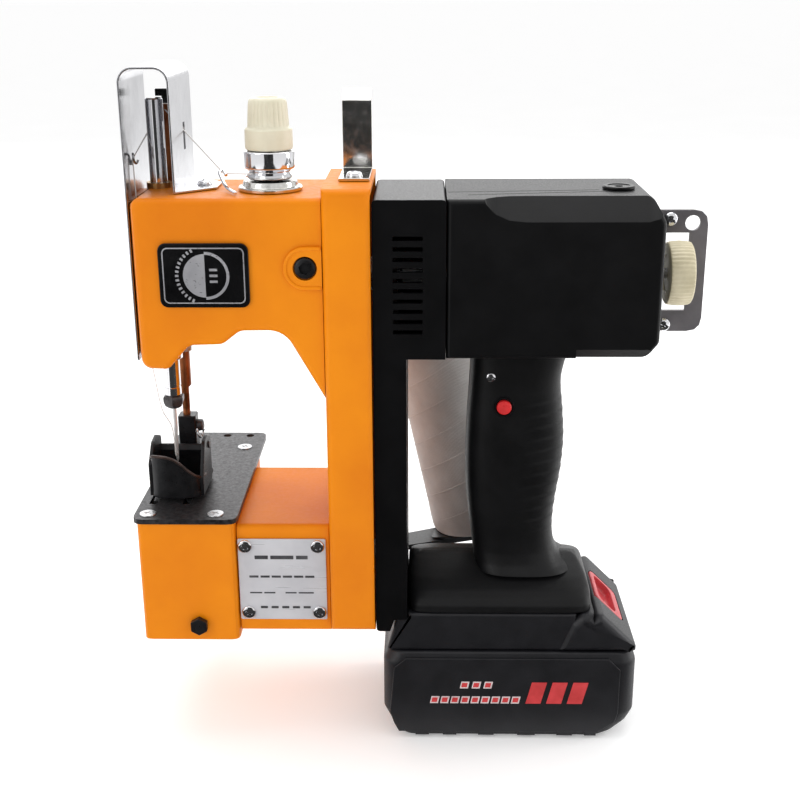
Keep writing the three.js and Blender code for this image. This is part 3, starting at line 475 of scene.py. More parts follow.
# ---------------------------------------------------------------- screws
def screw(name, base, direction, radius, height, body="frame", material=CHROME,
          drive="cross", dome=0.6):
    """A screw head standing on base: a dome or a flat head with a cross, hex or slot recess."""
    profile = [[radius * 0.55, -0.4], [radius * 0.98, 0.0], [radius, height * 0.18],
               [radius * 0.97, height * (1 - dome)]]
    if dome > 0:
        for k in range(1, 7):
            turn = math.pi / 2 * k / 6
            profile.append([radius * 0.97 * math.cos(turn) ** 0.8 if k < 6 else 0,
                            height * (1 - dome) + height * dome * math.sin(turn)])
    else:
        profile += [[radius * 0.93, height], [0, height]]
    head = lathe(profile, base, direction, 36)
    axis = Vector(direction).normalized()
    side = axis.orthogonal().normalized()
    other = axis.cross(side)
    top = at(*base) + axis * height * MM
    tools = []

    def bar(width, length, depth, turn):
        a = side * math.cos(turn) + other * math.sin(turn)
        b = axis.cross(a)
        corners = []
        for level, shrink in ((0.5, 1.0), (-depth, 0.72)):
            corners.append([top + axis * level * MM + (a * sx * length * shrink + b * sy * width) * MM / 2
                            for sx, sy in ((-1, -1), (1, -1), (1, 1), (-1, 1))])
        return skin(corners)

    if drive == "cross":
        for turn in (0.35, 0.35 + math.pi / 2):
            tools.append(bar(radius * 0.26, radius * 1.15, height * 0.55, turn))
    elif drive == "slot":
        tools.append(bar(radius * 0.28, radius * 2.2, height * 0.4, 0.5))
    elif drive == "hex":
        ring = [side * math.cos(math.pi / 3 * i) + other * math.sin(math.pi / 3 * i) for i in range(6)]
        tools.append(skin([[top + axis * level * MM + p * radius * 0.58 * MM for p in ring]
                           for level in (0.5, -height * 0.6)]))
    if tools:
        shaped(head, *tools)
    return piece(head, name, body, material)


# ---------------------------------------------------------------- the CAD nodes that stay
STUFF = {
    "yellow_paint": YELLOW, "black_plastic": BLACK, "badge": BADGE_BLACK, "label": LABEL,
         "bed_steel": BED_STEEL,
    "black_oxide": DARK_STEEL, "chrome": CHROME, "cream_plastic": CREAM, "grey_steel": GREY_PLATE,
    "red_plastic": RED, "dark_plastic": BATTERY_BLACK, "circuit_board": BOARD, "cell_wrap": WRAP,
    "machined_steel": STEEL, "bronze_bush": BRONZE, "coppered_steel": COPPER, "pulley_aluminium": ALUMINIUM,
    "belt_rubber": RUBBER, "tray_paint": TRAY, "thread": CONE_THREAD,
}
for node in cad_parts.values():
    for held in node.material_slots:
        known = next((s for s in STUFF if held.material and held.material.name.startswith(s)),
                     "machined_steel")
        held.material = STUFF[known]

# ---------------------------------------------------------------- castings and the covers behind them


BOLT_X, BOLT_Z = -49.4, 244
NEEDLE = (-120.5, 0)
PRESSER = (-117.5, 15)


def head():
    """The hollow head: full rounded near edge, pad for the face plate on its left, clamp bolt's boss."""
    outline = [[-127, 196, 5], [-114.6, 195.5, 4], [-104.5, 207, 6], [-88.8, 207.5, 6], [-80.5, 214, 7],
               [-60.5, 214.2, 12], [-36, 171.1], [-36, 275], [-127, 275, 4]]
    shell = prism("y", outline, -36, 26, 3.4, 2.5, steps=8)
    pad = prism("x", rect(-23, 199, 24, 271, 2), -129.8, -120, 0.4, 0)
    boss = prism("y", [[BOLT_X + 9.4 * math.cos(t), BOLT_Z + 9.4 * math.sin(t)] for t in
                               (math.pi * (0.5 + k / 16) for k in range(17))] + [[-40, 234.6], [-40, 253.4]],
                 -37.5, -30, 0.6, 0)
    shell = shaped(shell, pad, boss, operation="UNION")
    bolt_seat = rod_tool("y", 5.5, -40, -35.2, (BOLT_X, BOLT_Z))
    inner = [[p.x, p.y] for p in inset(rounded(outline, 4), 2.4)]
    hollow = prism("y", inner, -33.6, 23.6, 1.5)
    window = box_tool((-131, -120), (-20, 20), (204, 267))
    holes = [rod_tool("z", 5.85, 190, 212, NEEDLE), rod_tool("z", 5.05, 190, 212, PRESSER),
             rod_tool("z", 5.85, 262, 280, NEEDLE), rod_tool("z", 4.4, 262, 280, PRESSER)]
    shaped(shell, hollow, window, bolt_seat, *holes, box_tool((-41.8, -30), (-45, 35), (160, 290)),
           box_tool((-45, -30), (-45, 35), (160, 181.3)))
    piece(bevelled(shell, 0.35, 35, 2), "head_shell", "frame", YELLOW, "head_casting",
          sharp=40)


head()
COLUMN_ROUND = prism("y", rect(-41.5, 61.8, -19.5, 279.6), -40, 30, 3.6, 3.0)
refined("column_casting", "column_shell", "frame", YELLOW, 0.5, within=COLUMN_ROUND)
refined("arm_casting", "arm_shell", "frame", YELLOW, 0.6)
refined("looper_housing", "looper_box_shell", "frame", YELLOW, 0.6)
refined("belt_cover", "belt_cover_shell", "frame", COVER_BLACK, 0.5)
refined("bed_plate", "bed_plate_shape", "frame", BED_STEEL, 0.25)
refined("rear_plate", "rear_plate_shape", "frame", GREY_PLATE, 0.4)
refined("thread_guide", "thread_guide_strip", "frame", SMEARED_CHROME, 0.25)
refined("hex_bolt", "hex_bolt_head", "frame", DARK_STEEL, 0.35)
refined("thread_tray", "thread_tray_shape", "frame", TRAY, 0.35)
refined("thread_hook", "thread_hook_shape", "presser", DARK_STEEL, 0.3)


def boss_rim():
    """Raised bead round the D boss of the clamp bolt."""
    x, z, radius = BOLT_X, BOLT_Z, 9.0
    line = [(-42.4, -37.3, z + radius), (x, -37.3, z + radius)]
    line += [(x - radius * math.sin(t), -37.3, z + radius * math.cos(t))
             for t in (math.pi * k / 10 for k in range(1, 10))]
    line += [(x, -37.3, z - radius), (-42.4, -37.3, z - radius)]
    piece(tube(line, 0.9, 8, 3), "boss_bead", "frame", YELLOW)


boss_rim()
screw("clamp_bolt_head", (BOLT_X, -35.2, BOLT_Z), (0, -1, 0), 5.0, 3.0, "frame", DARK_STEEL,
      "hex", 0.35)
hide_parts("clamp_bolt")
for i, (x, y) in enumerate(((-130, -32), (-97, -32), (-95.5, 59.5))):
    screw(f"bed_screw_{i}", (x, y, 121.5), (0, 0, 1), 4.0, 0.45, material=STEEL, dome=0.0)


# ---------------------------------------------------------------- the two plates
def plate_print(x, z, y, slant=0.0):
    """A thin raised print: x and z are its ends, y the face it stands on."""
    corner = 0.15
    outline = [[x[0], z[0], corner], [x[1], z[0], corner], [x[1] + slant, z[1], corner],
               [x[0] + slant, z[1], corner]]
    return prism("y", outline, y - 0.12, y + 0.05, 0.0, steps=3)


def badge():
    left, right, low, high = -115.5, -74.6, 226.0, 255.5
    face = -37.6
    raised = (face - 0.1, face + 0.1)

    def frame_of(gap, corner):
        return rect(left + gap, low + gap, right - gap, high - gap, corner)

    body = prism("y", frame_of(0, 3.6), face, -36.3, 0.45, 0.2)
    piece(body, "badge_plate", "frame", BADGE_BLACK, "badge")
    border = prism("y", frame_of(1.9, 2.6), *raised)
    hole = prism("y", frame_of(2.45, 2.1), face - 1, face + 1)
    piece(shaped(border, hole), "badge_border", "frame", BADGE_SILVER)
    x, z, radius = (left + right) / 2 + 0.6, (low + high) / 2, 11.0

    def arc(r, start, stop, count=28):
        turns = [start + (stop - start) * k / count for k in range(count + 1)]
        return [[x + r * math.cos(t), z + r * math.sin(t)] for t in turns]

    disc = prism("y", arc(radius - 1.0, math.pi / 2, 1.5 * math.pi), *raised)
    ring = prism("y", arc(radius, -math.pi / 2, math.pi / 2) + arc(radius - 1.3, math.pi / 2, -math.pi / 2),
                 *raised)
    bars = [prism("y", rect(x + 2.0, z + dz, x + 5.6, z + dz + 1.1), *raised) for dz in (-3.2, -0.5, 2.2)]
    ticks = []
    for k in range(15):
        turn = math.radians(117 + 9 * k)
        c, s = math.cos(turn), math.sin(turn)
        ticks.append(prism("y", [[x + r * c - w * s, z + r * s + w * c]
                                 for r, w in ((12.0, -0.5), (13.6, -0.5), (13.6, 0.5), (12.0, 0.5))],
                           *raised))
    piece(joined([disc, ring, *bars, *ticks]), "badge_motif", "frame", BADGE_SILVER)


badge()


def model_plate():
    left, right, low, high = -86.6, -43.6, 66.0, 109.6
    face = -35.1
    plate = prism("y", rect(left, low, right, high, 0.8), face, -34.3, 0.2)
    piece(plate, "model_plate", "frame", LABEL, "label_plate")
    rows = (  # height of a row, its thickness and the ends of its dashes
        (98.9, 1.9, ((-78.5, -72.0), (-70.8, -59.5), (-58.2, -52.5))),
        (88.9, 1.1, ((-81.5, -77), (-76, -71.5), (-70.5, -66), (-65, -60.5), (-59.5, -55), (-54, -49.5))),
        (80.3, 0.7, ((-81.5, -75.5), (-74.5, -69), (-64, -58.5), (-57.5, -50))),
        (72.1, 1.2, ((-76.5, -73), (-71.2, -67.7), (-65.9, -62.4), (-60.6, -57.1), (-55.3, -51.8))),
    )
    lines = [plate_print(dash, (z, z + thick), face) for z, thick, dashes in rows for dash in dashes]
    piece(joined(lines), "model_plate_rules", "frame", INK)
    for i, (x, z) in enumerate(((-83.0, 105.8), (-47.6, 105.8), (-82.4, 70.0), (-47.4, 70.0))):
        screw(f"plate_screw_{i}", (x, face, z), (0, -1, 0), 3.5, 1.5)


model_plate()


# ---------------------------------------------------------------- over the head: strap, guides and tension
def strap_guard():
    left, right, top, seat, sheet = -131.3, -108.3, 331.0, 275.3, 1.0
    strip = prism("y", [[left, 197], [left, top, 7], [right, top, 7], [right, seat], [right - sheet, seat],
                        [right - sheet, top - sheet, 6], [left + sheet, top - sheet, 6],
                        [left + sheet, 197]], -24, 26, 0.3, steps=16)
    tab = prism("z", [[right - 0.6, -24], [-92, -9, 3], [-92, 8, 3], [right - 0.6, 26]], seat, seat + sheet,
                0.25)
    strip = shaped(strip, box_tool((-110, -107), (2.6, 7.2), (292, 304.5)))
    piece(joined([strip, tab]), "strap_guard_strip", "frame", STRAP_CHROME, "strap_guard")
    screw("strap_screw", (-99.0, 0.0, seat + sheet), (0, 0, 1), 3.6, 2.2, dome=0.8)
    for i, z in enumerate((209.0, 262.0)):
        screw(f"face_plate_screw_{i}", (-131.3, 16.0, z), (-1, 0, 0), 3.2, 1.6)
    eyelet = [(-129.4 + 0.2 * k, -13.0 + 2.2 * math.cos(t), 290 + 2.2 * math.sin(t))
              for k, t in enumerate(math.pi * 2 * j / 12 for j in range(12))]
    piece(tube([(-130.2, -12.0, 287.0)] + eyelet, 0.55), "strap_eyelet", "frame", STEEL)


strap_guard()
HOOK = [(-80.5, -27, 276.3), (-84, -20, 276.5), (-87, -14, 277.5), (-89.5, -9.5, 280.5),
        (-90.6, -6.8, 282.8), (-88.6, -6, 283.4), (-87.4, -8.6, 281.6)]
piece(tube(HOOK, 0.8, 10), "wire_hook_wire", "frame", CHROME, "wire_hook")
screw("guide_screw", (-28.0, -10.0, 281.3), (0, 0, 1), 3.9, 2.6, dome=0.85)


def tension():
    foot = (-66.8, -10, 0)
    base = [[0, 275.3], [14.5, 275.3], [14.8, 275.6], [14.8, 276.7], [14.4, 277.2], [13.0, 277.5],
            [12.6, 278.2], [12.6, 279.0], [12.1, 279.8], [10.4, 280.0], [3.0, 280.0], [3.0, 312], [0, 312]]
    piece(lathe(base, foot, around=72), "tension_flange", "frame", SMEARED_CHROME, "tension_base")
    cup = [[3.6, 280.4], [9.6, 280.4], [10.9, 281.0], [11.5, 282.0], [10.6, 283.0], [9.8, 284.0],
           [10.4, 284.9], [11.5, 285.4], [11.9, 286.2], [11.9, 292.6], [11.5, 293.2], [10.9, 293.3],
           [3.6, 293.3]]
    piece(lathe(cup, foot, around=72), "tension_cup_shape", "frame", CHROME, "tension_cup",
          sharp=50)

    def flutes(turn, height):
        if 304.6 < height < 314.6:
            return 1 - 0.035 * (1 - abs(math.cos(turn * 12)) ** 0.7)
        return 1

    nut = [[0, 293.7], [10.4, 293.7], [10.8, 294.1], [11.0, 294.8], [10.9, 302.5], [10.6, 303.2],
           [9.7, 303.6], [9.5, 304.2], [9.5, 304.7], [9.4, 307], [9.2, 310], [9.0, 313], [8.85, 314.4],
           [8.6, 315.5], [8.0, 316.3], [7.0, 316.75], [5.2, 316.8], [4.8, 316.4], [0, 316.3]]
    piece(lathe(nut, foot, around=192, wobble=flutes), "tension_nut_shape", "tension_knob",
          CREAM, "tension_nut", sharp=50)


tension()


# ---------------------------------------------------------------- bars, needle and foot
OXIDE = finish("grey_oxide", (0.045, 0.043, 0.045), (0.085, 0.08, 0.083), (0.26, 0.4), metal=0.6, patch=220,
               grain=1100, depth=0.00004, strength=0.4)


def bars():
    needle_at = (*NEEDLE, 0)
    bush = [[4.15, 191.0], [5.3, 191.0], [5.8, 191.5], [5.8, 206], [4.15, 206], [4.15, 191.0]]
    piece(lathe(bush, needle_at), "lower_bush_shape", "frame", CHROME, "needle_bar_bush_lower")
    bar = [[0, 172.0], [3.7, 172.0], [4.1, 172.6], [4.1, 176.2], [3.9, 176.5], [3.9, 177.0], [4.1, 177.3],
           [4.1, 315.4], [3.5, 316], [0, 316]]
    piece(lathe(bar, needle_at), "needle_bar_shape", "needle_drive", CHROME, "needle_bar")
    nut = [[0, 165.6], [3.4, 165.6], [4.6, 166.6], [5.5, 168.8], [5.6, 171.0], [5.2, 171.7], [4.6, 172.0],
           [0, 172.0]]

    def six_sides(turn, height):
        if height > 166:
            return math.cos(math.pi / 6) / math.cos((turn + 0.2) % (math.pi / 3) - math.pi / 6)
        return 0.93

    piece(lathe(nut, needle_at, around=60, wobble=six_sides), "clamp_nut_shape", "needle_drive",
          OXIDE, "needle_clamp_nut")
    shank = [[0, 136.0], [0.35, 136.8], [0.75, 138.6], [0.8, 147], [0.85, 152], [1.05, 153.5],
             [1.05, 165.2], [0, 165.2]]
    needle = lathe(shank, needle_at, around=20)
    eye = rod_tool("y", 0.38, -3, 3, (-120.5, 139.8), 12)
    piece(shaped(needle, eye), "needle_shape", "needle_drive", BRIGHT_STEEL, "needle")
    presser_at = (*PRESSER, 0)
    upper = [[0, 204], [3.3, 204], [3.3, 311.4], [2.8, 312], [0, 312]]
    top = lathe(upper, presser_at)
    piece(top, "presser_bar_top", "presser", COPPER)
    lower = [[0, 143.0], [1.9, 143.0], [1.9, 168.4], [3.0, 168.4], [3.3, 168.8], [3.3, 204], [0, 204]]
    stem = lathe(lower, presser_at)
    slant = skin([[at(x, y, z) for x, z in ((-123, 168.3), (-112, 168.3), (-112, 174.5), (-119, 168.6))]
                  for y in (5, 25)])
    neck = lathe([[0, 160], [1.9, 160], [1.9, 176], [0, 176]], presser_at)
    stem = joined([shaped(stem, slant), neck])
    piece(stem, "presser_bar_stem", "presser", COPPER, "presser_bar")


bars()


# painted highlight: a lighter brownish colour for the bead along the presser foot shield's top edge
EDGE_HIGHLIGHT = finish("worn_edge", (0.030, 0.021, 0.019), (0.075, 0.048, 0.040), (0.28, 0.42), metal=0.6,
                   patch=160, grain=800)


def presser_foot():
    """Sole, tall rounded shield in front with a bead along its top edge whose lighter brownish colour is a
    painted highlight, a cheek on each side, bridge and clamp socket.
    """
    sole = prism("z", [[-131.4, -16.8, 4], [-106, -16.8, 4], [-106, 19, 2], [-131.4, 19, 2]], 123.6, 126.4,
                 0.5)
    plan = [(-131.6, -9.0, 141.0), (-131.3, -13.5, 143.2), (-129.6, -16.6, 145.0), (-126.5, -18.1, 145.3),
            (-122.5, -18.6, 145.0), (-118.6, -18.7, 143.6), (-115.0, -18.5, 140.8), (-111.6, -18.0, 137.4),
            (-108.4, -16.6, 134.6), (-106.2, -13.6, 133.2), (-105.3, -9.0, 133.0)]
    rings = []
    for i, (x, y, z) in enumerate(plan):
        before, after = plan[max(i - 1, 0)], plan[min(i + 1, len(plan) - 1)]
        out = Vector((after[1] - before[1], before[0] - after[0])).normalized() * 1.4
        rings.append([at(x, y, 123.7), at(x, y, z), at(x - out.x, y - out.y, z),
                      at(x - out.x, y - out.y, 123.7)])
    shield = skin(rings)
    cheeks = [prism("x", [[-15, 123.8], [10, 123.8, 2], [10, 147, 3], [2, 150, 3], [-6, 149, 4],
                          [-15, top, 3]], x, x + 1.8, 0.4) for x, top in ((-132.2, 140.5), (-107.0, 133.0))]
    bridge = prism("x", [[6.6, 125], [11, 125], [11, 142, 1], [8.2, 143, 1], [6.6, 140, 1]], -131.2, -106.2,
                   0.3)
    socket = prism("z", rect(-121.6, 10.6, -112.4, 19.4, 1.2), 139, 156.7, 0.6)
    neck = prism("z", rect(-121, 8.6, -113, 19.0, 1), 124.6, 141, 0.4)
    sole = shaped(sole, box_tool((-123.5, -117.5), (-5, 4), (120, 130)))
    foot = joined([sole, shield, *cheeks, bridge, socket, neck])
    piece(bevelled(foot, 0.3, 40, 2), "presser_foot_shape", "presser", DARK_STEEL,
          "presser_foot", sharp=45)
    # the bead along the shield's top edge, coloured as a painted highlight
    piece(tube([(x, y + 0.5, z + 0.1) for x, y, z in plan], 0.8), "foot_bead", "presser",
          EDGE_HIGHLIGHT)
    screw("foot_clamp_screw", (-112.4, 15, 150.5), (1, 0, 0.1), 3.1, 3.4, "presser",
          OXIDE, "slot", 0.3)
    for i, (x, z, out) in enumerate(((-132.2, 144.5, -1), (-105.2, 144.5, 1))):
        screw(f"foot_pivot_{i}", (x, 3, z), (out, 0, 0), 1.9, 1.1, "presser", OXIDE,
              "slot", 0.3)
    coil = [(-107.4 + 0.5 * k, 1.0 + 2.0 * math.cos(0.9 * k), 151.2 + 2.0 * math.sin(0.9 * k))
            for k in range(-7, 3)]
    piece(tube(coil, 0.45), "foot_spring_wire", "presser", STEEL)


presser_foot()


# ---------------------------------------------------------------- motor housing, grip and battery foot
def section(z, low_x, high_x, half, power, count=112, push=None):
    """One level of a rounded bar that stands upright: power 2 is an ellipse, more is squarer."""
    middle, reach = (low_x + high_x) / 2, (high_x - low_x) / 2
    ring = []
    for i in range(count):
        turn = 2 * math.pi * i / count
        c, s = math.cos(turn), math.sin(turn)
        x = reach * math.copysign(abs(c) ** (2 / power), c)
        y = half * math.copysign(abs(s) ** (2 / power), s)
        more = push(x, y, z) if push else 0
        out = Vector((x / reach ** 2, y / half ** 2)).normalized() * more
        ring.append(at(middle + x + out.x, y + out.y, z))
    return ring


def between(table, z):
    """A smooth value from [height, value] rows that go down."""
    for i in range(len(table) - 1):
        (z1, v1), (z2, v2) = table[i], table[i + 1]
        if z1 >= z >= z2:
            v0 = table[max(i - 1, 0)][1]
            v3 = table[min(i + 2, len(table) - 1)][1]
            t = (z1 - z) / (z1 - z2)
            return eased(v0, v1, v2, v3, t)
    return table[0][1] if z > table[0][0] else table[-1][1]


GRIP_LEFT = [(206, 27.4), (195, 27.0), (180, 26.4), (160, 25.3), (138, 25.0), (118, 26.0), (98, 28.4),
             (84, 30.0)]
GRIP_RIGHT = [(206, 77.5), (201, 75.6), (196, 73.6), (183, 71.2), (166, 72.6), (152, 73.5), (136, 72.6),
              (118, 70.2), (105, 69.4), (96, 70.4), (90, 72.6), (86, 76.0), (83.5, 79.5)]
GRIP_POWER = 3.0
GRIP_HALF = [(206, 18.0), (180, 17.9), (150, 18.0), (105, 17.6), (94, 18.2), (88, 20.0), (83.5, 23.0)]


def ridges(x, y, z):
    """Slanted finger ridges on the right half of the grip: each rises slowly and drops at once."""
    over = min(max((x + 2) / 12, 0), 1) * min(max((181 - z) / 8, 0), 1) * min(max((z - 102) / 8, 0), 1)
    if over <= 0:
        return 0
    lean = z - 0.30 * x + 0.006 * x * x
    step = (lean / 6.1) % 1
    return over * 0.34 * (min(step / 0.88, (1 - step) / 0.12) - 0.5)


def housing():
    box = prism("y", [[14.3, 201], [106, 201, 4], [112, 208.5, 4], [112, 264, 4], [106.5, 274.5, 4],
                      [14.3, 274.5]], -36, 30, 2.5, steps=8)
    # the chamfer along the top runs out to nothing on the left: x and its share of the full depth
    depths = ((30, 0.0), (32, 0.35), (36, 0.7), (42, 0.93), (50, 1.0), (104, 1.0), (108, 0.9), (113, 0.82))
    band = [[at(x, -38, 274.6 - 12 * k), at(x, -38, 276), at(x, -35.6 + 11.5 * k, 276),
             at(x, -36 + 11 * k, 274.6)] for x, k in depths]
    low_edge = ((-38, 205.8), (-36, 205.8), (-31.5, 200.8), (-31.5, 199), (-38, 199))
    low_band = [[at(x, y, z) for y, z in low_edge] for x in (74, 114)]
    grooves = [skin([[at(x, y + w, z) for w, z in ((-0.7, 275), (0.7, 275), (0, 273.8))] for x, y in line])
               for line in (((15, -14.0), (85, -8.0)), ((24, -22.0), (89, -12.0)))]
    box = shaped(box, skin(band), skin(low_band), *grooves)
    box = bevelled(box, 0.8, 20)
    levels = [206 - 0.8 * k for k in range(154)]
    grip = skin([section(z, between(GRIP_LEFT, z), between(GRIP_RIGHT, z), between(GRIP_HALF, z),
                         GRIP_POWER, push=ridges) for z in levels])
    piece(box, "motor_housing_shell", "frame", BLACK,
          ("housing_half_near", "housing_half_far"))
    piece(grip, "grip_shell", "frame", GRIP_BLACK, sharp=60)
    foot_levels = [(69.0, -3.2, 87.7, 33.4, 10), (69.4, -3.7, 88, 33.8, 10), (72.5, -3.7, 88, 33.2, 10),
                   (75.5, -3.7, 87.9, 31.0, 9), (78.5, -3.6, 87.2, 27.0, 8), (81.5, -3.4, 85.9, 21.0, 7),
                   (84, -2.8, 84.2, 14.5, 6), (86.2, -1.5, 82.4, 8.0, 5.5), (87.6, 1.5, 80, 3.5, 5),
                   (88.0, 4, 77, 1.5, 5)]
    rings = []
    for i in range(len(foot_levels) - 1):
        for k in range(4):
            t = k / 4
            rings.append([a + (b - a) * t for a, b in zip(foot_levels[i], foot_levels[i + 1])])
    rings.append(list(foot_levels[-1]))
    foot = skin([section(*ring) for ring in rings])
    piece(foot, "grip_foot_shell", "frame", GRIP_BLACK, sharp=60)


housing()


def grip_surface(x, z):
    """How far near (y) the grip's surface is at x and z, without its ridges."""
    low_x, high_x = between(GRIP_LEFT, z), between(GRIP_RIGHT, z)
    share = abs(x - (low_x + high_x) / 2) / ((high_x - low_x) / 2)
    return -between(GRIP_HALF, z) * (1 - share ** GRIP_POWER) ** (1 / GRIP_POWER)


def controls():
    x, z = 42.7, 171.9
    skin_y = grip_surface(x, z)
    rim = [[4.0, -0.6], [5.0, -0.6], [5.0, 0.35], [4.75, 0.7], [4.2, 0.7], [4.0, 0.4]]
    piece(lathe(rim + [rim[0]], (x, skin_y, z), (0, -1, 0), 40), "button_rim", "frame",
          BLACK)
    cap = [[0, 0], [3.6, 0], [3.6, 6.9], [3.5, 7.4], [3.2, 7.7], [2.4, 7.75], [0, 7.6]]
    piece(lathe(cap, (x, -12.0, z), (0, -1, 0), 40), "button_cap", "button", RED,
          "power_button")
    screw("grip_screw", (36.2, grip_surface(36.2, 186.5) + 0.3, 186.5), (0, -1, 0), 2.4, 1.3)
    cap_at = (94.3, -5, 0)
    lid = [[2.0, 274.8], [7.3, 274.8], [7.5, 275.0], [7.5, 275.7], [7.1, 276.15], [5.4, 276.2],
           [5.0, 275.8], [2.4, 275.8], [2.0, 275.6], [2.0, 274.8]]
    piece(lathe(lid, cap_at), "housing_cap_ring", "frame", COVER_BLACK, "housing_cap")

    def knurl(turn, height):
        return 1 - 0.022 * (0.5 + 0.5 * math.cos(turn * 44)) if 0.9 < height < 10.8 else 1

    wheel = [[0, 0.6], [9, 0.6], [9.4, 0], [14.0, 0], [14.7, 0.4], [15.0, 1.0], [15.35, 3.2], [15.5, 5.85],
             [15.35, 8.5], [15.0, 10.7], [14.7, 11.3], [14.0, 11.7], [9.4, 11.7], [9, 11.1], [0, 11.1]]
    piece(lathe(wheel, (119.5, 0, 233.5), (1, 0, 0), 264, knurl), "handwheel_shape", "drive_line",
          WHEEL_CREAM, "handwheel", sharp=50)
    for i, (px, pz) in enumerate(((122.4, 257.7), (122.1, 205.5))):
        screw(f"rear_plate_screw_{i}", (px, 10.0, pz), (0, -1, 0), 3.4, 2.0, dome=0.7)


controls()


# ---------------------------------------------------------------- battery
def battery_block():
    levels = [(0.0, -8.0, 97.0, 34.4), (0.6, -8.4, 98.0, 35.0), (3, -9.5, 102, 36), (9, -13, 108, 37),
              (13.4, -15.2, 110.4, 37), (15, -16, 111, 37), (42, -16, 111, 37), (43.2, -15.6, 110.8, 36.8),
              (47.4, -13.3, 109.2, 35.3), (48, -12.4, 108.3, 34.6)]
    rings = []
    for z, left, right, half in levels:
        loop = rounded(rect(left, -half, right, half, 8), 8)
        rings.append([at(p.x, p.y, z) for p in loop])
    body = skin(rings)
    piece(bevelled(body, 0.8, 12), "battery_block", "battery", BATTERY_BLACK,
          "battery_case_lower")
    lid = prism("y", [[-14.3, 48.3, 1], [80, 48.3], [80, 68.7], [-3.7, 68.7, 0.6], [-3.7, 66.2, 0.6],
                      [-9.3, 66.2, 1.5]], -34, 34, 1.6)
    piece(lid, "battery_lid", "battery", BATTERY_BLACK, "battery_case_upper")
    shoulder = prism("y", [[71.2, 48.3], [110.5, 48.3, 1], [110.5, 51, 2.5], [88.8, 72.7, 3], [88.8, 68.8],
                           [82.5, 68.6, 1], [77.6, 64.0, 2]], -36, 36, 4.2, 4.2)
    well = prism("slope", rect(-10.3, -16.3, 10.3, 16.3, 3.6), -9.3, 3, 0)
    piece(bevelled(shaped(shoulder, well), 0.5, 25), "battery_shoulder", "battery",
          BATTERY_BLACK)
    panel = [[-12.9, 14.8], [-10.9, 8.4], [-8.4, 3.4], [92.5, 3.4], [101.0, 9.3], [102.6, 14.7],
             [102.6, 39.4], [96.5, 45.6], [-4.8, 45.6], [-10.6, 40.2]]
    panel_face = -37.7
    plate = prism("y", panel[::-1], panel_face, -36.4, 0.5, 0.0, steps=2)
    piece(plate, "battery_panel", "battery", BATTERY_BLACK)
    pads = [prism("y", rect(x, 1.2, x + w, 4.6), -37.4, -34.6, 0.5)
            for x, w in ((0, 7), (14, 7), (32, 8), (52, 9), (72, 8), (86, 6))]
    piece(joined(pads), "battery_pads", "battery", BATTERY_BLACK)
    prints, hearts = [], []
    for row, (z, thick) in enumerate(((20.2, 4.0), (28.8, 3.9))):
        starts = [7.4 + 5.1 * k for k in range(9)] if row == 0 else [22.4 + 5.9 * k for k in range(3)]
        prints += [plate_print((x, x + 4.1), (z, z + thick), panel_face, 0.8) for x in starts]
        hearts += [plate_print((x + 0.7, x + 3.5), (z + 0.7, z + thick - 0.7), panel_face - 0.06, 0.5)
                   for x in starts]
    piece(joined(prints), "battery_small_marks", "battery", PALE_INK)
    piece(joined(hearts), "battery_mark_hearts", "battery", RED_INK)
    bold = [plate_print((x, x + 7.6), (20.2, 32.4), panel_face, 3.0) for x in (55.6, 66.0, 76.4)]
    piece(joined(bold), "battery_bold_bars", "battery", RED_INK)


battery_block()


def latch():
    """The red release: a block flush with the battery's slope, hollowed for a thumb."""
    block = prism("slope", rect(-10, -16, 10, 16, 3.5), -5.6, 0.0, 0.4, 0.8)
    hollow = prism("slope", [[-7.4, -13.2, 3], [5.6, -13.2, 4.4], [5.6, 13.2, 4.4], [-7.4, 13.2, 3]], -4.4,
                   0.5, 1.8, 0.0)
    piece(bevelled(shaped(block, hollow), 0.4, 35), "latch_cup", "latch", LATCH_RED,
          "battery_latch")


latch()


# ---------------------------------------------------------------- thread
UP = (math.sin(LEAN), 0, math.cos(LEAN))
CONE_FOOT = (40.5, 75, 76)
CONE_RADIUS, CONE_TAPER, CONE_HEIGHT = 31.5, 7.5, 165


def cone_radius(height):
    return CONE_RADIUS - CONE_TAPER * height / CONE_HEIGHT


def on_cone(turn, height):
    """A place just proud of the wound thread."""
    radius = cone_radius(height) + 0.05
    side = Vector((math.cos(LEAN), 0, -math.sin(LEAN)))
    middle = Vector(CONE_FOOT) + Vector(UP) * height
    return tuple(middle + side * radius * math.cos(turn) + Vector((0, radius * math.sin(turn), 0)))


def cone():
    body = [[6.5, 0.4], [30.2, 0.0], [31.2, 0.6], [31.5, 2.0], [31.4, 8]]
    body += [[cone_radius(h), h] for h in range(16, 160, 8)]
    body += [[24.4, 160], [24.1, 163.6], [23.2, 164.8], [21.5, 165], [10, 164.6], [9.5, 165], [8.2, 165],
             [6.5, 164.6]]
    piece(lathe(body + [body[0]], CONE_FOOT, UP, 96), "cone_package", "cone", CONE_THREAD,
          "thread_cone")
    strands = []
    for start in range(4):
        line = [on_cone(math.pi / 2 * start + 0.195 * k, 3 + 159 * k / 80) for k in range(81)]
        strands.append(tube(line, 0.28, 6, 2))
    piece(joined(strands), "cone_strands", "cone", CONE_THREAD)


cone()


def strung(name, points, body=None):
    """A stretch of sewing thread: it rides on a body, or without one stays fixed in the frame."""
    thread = tube(points, 0.33, 6, 4)
    if body:
        return piece(thread, name, body, THREAD)
    thread.name = thread.data.name = name
    thread.data.materials.append(THREAD)
    for face in thread.data.polygons:
        face.use_smooth = True
    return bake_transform(thread)


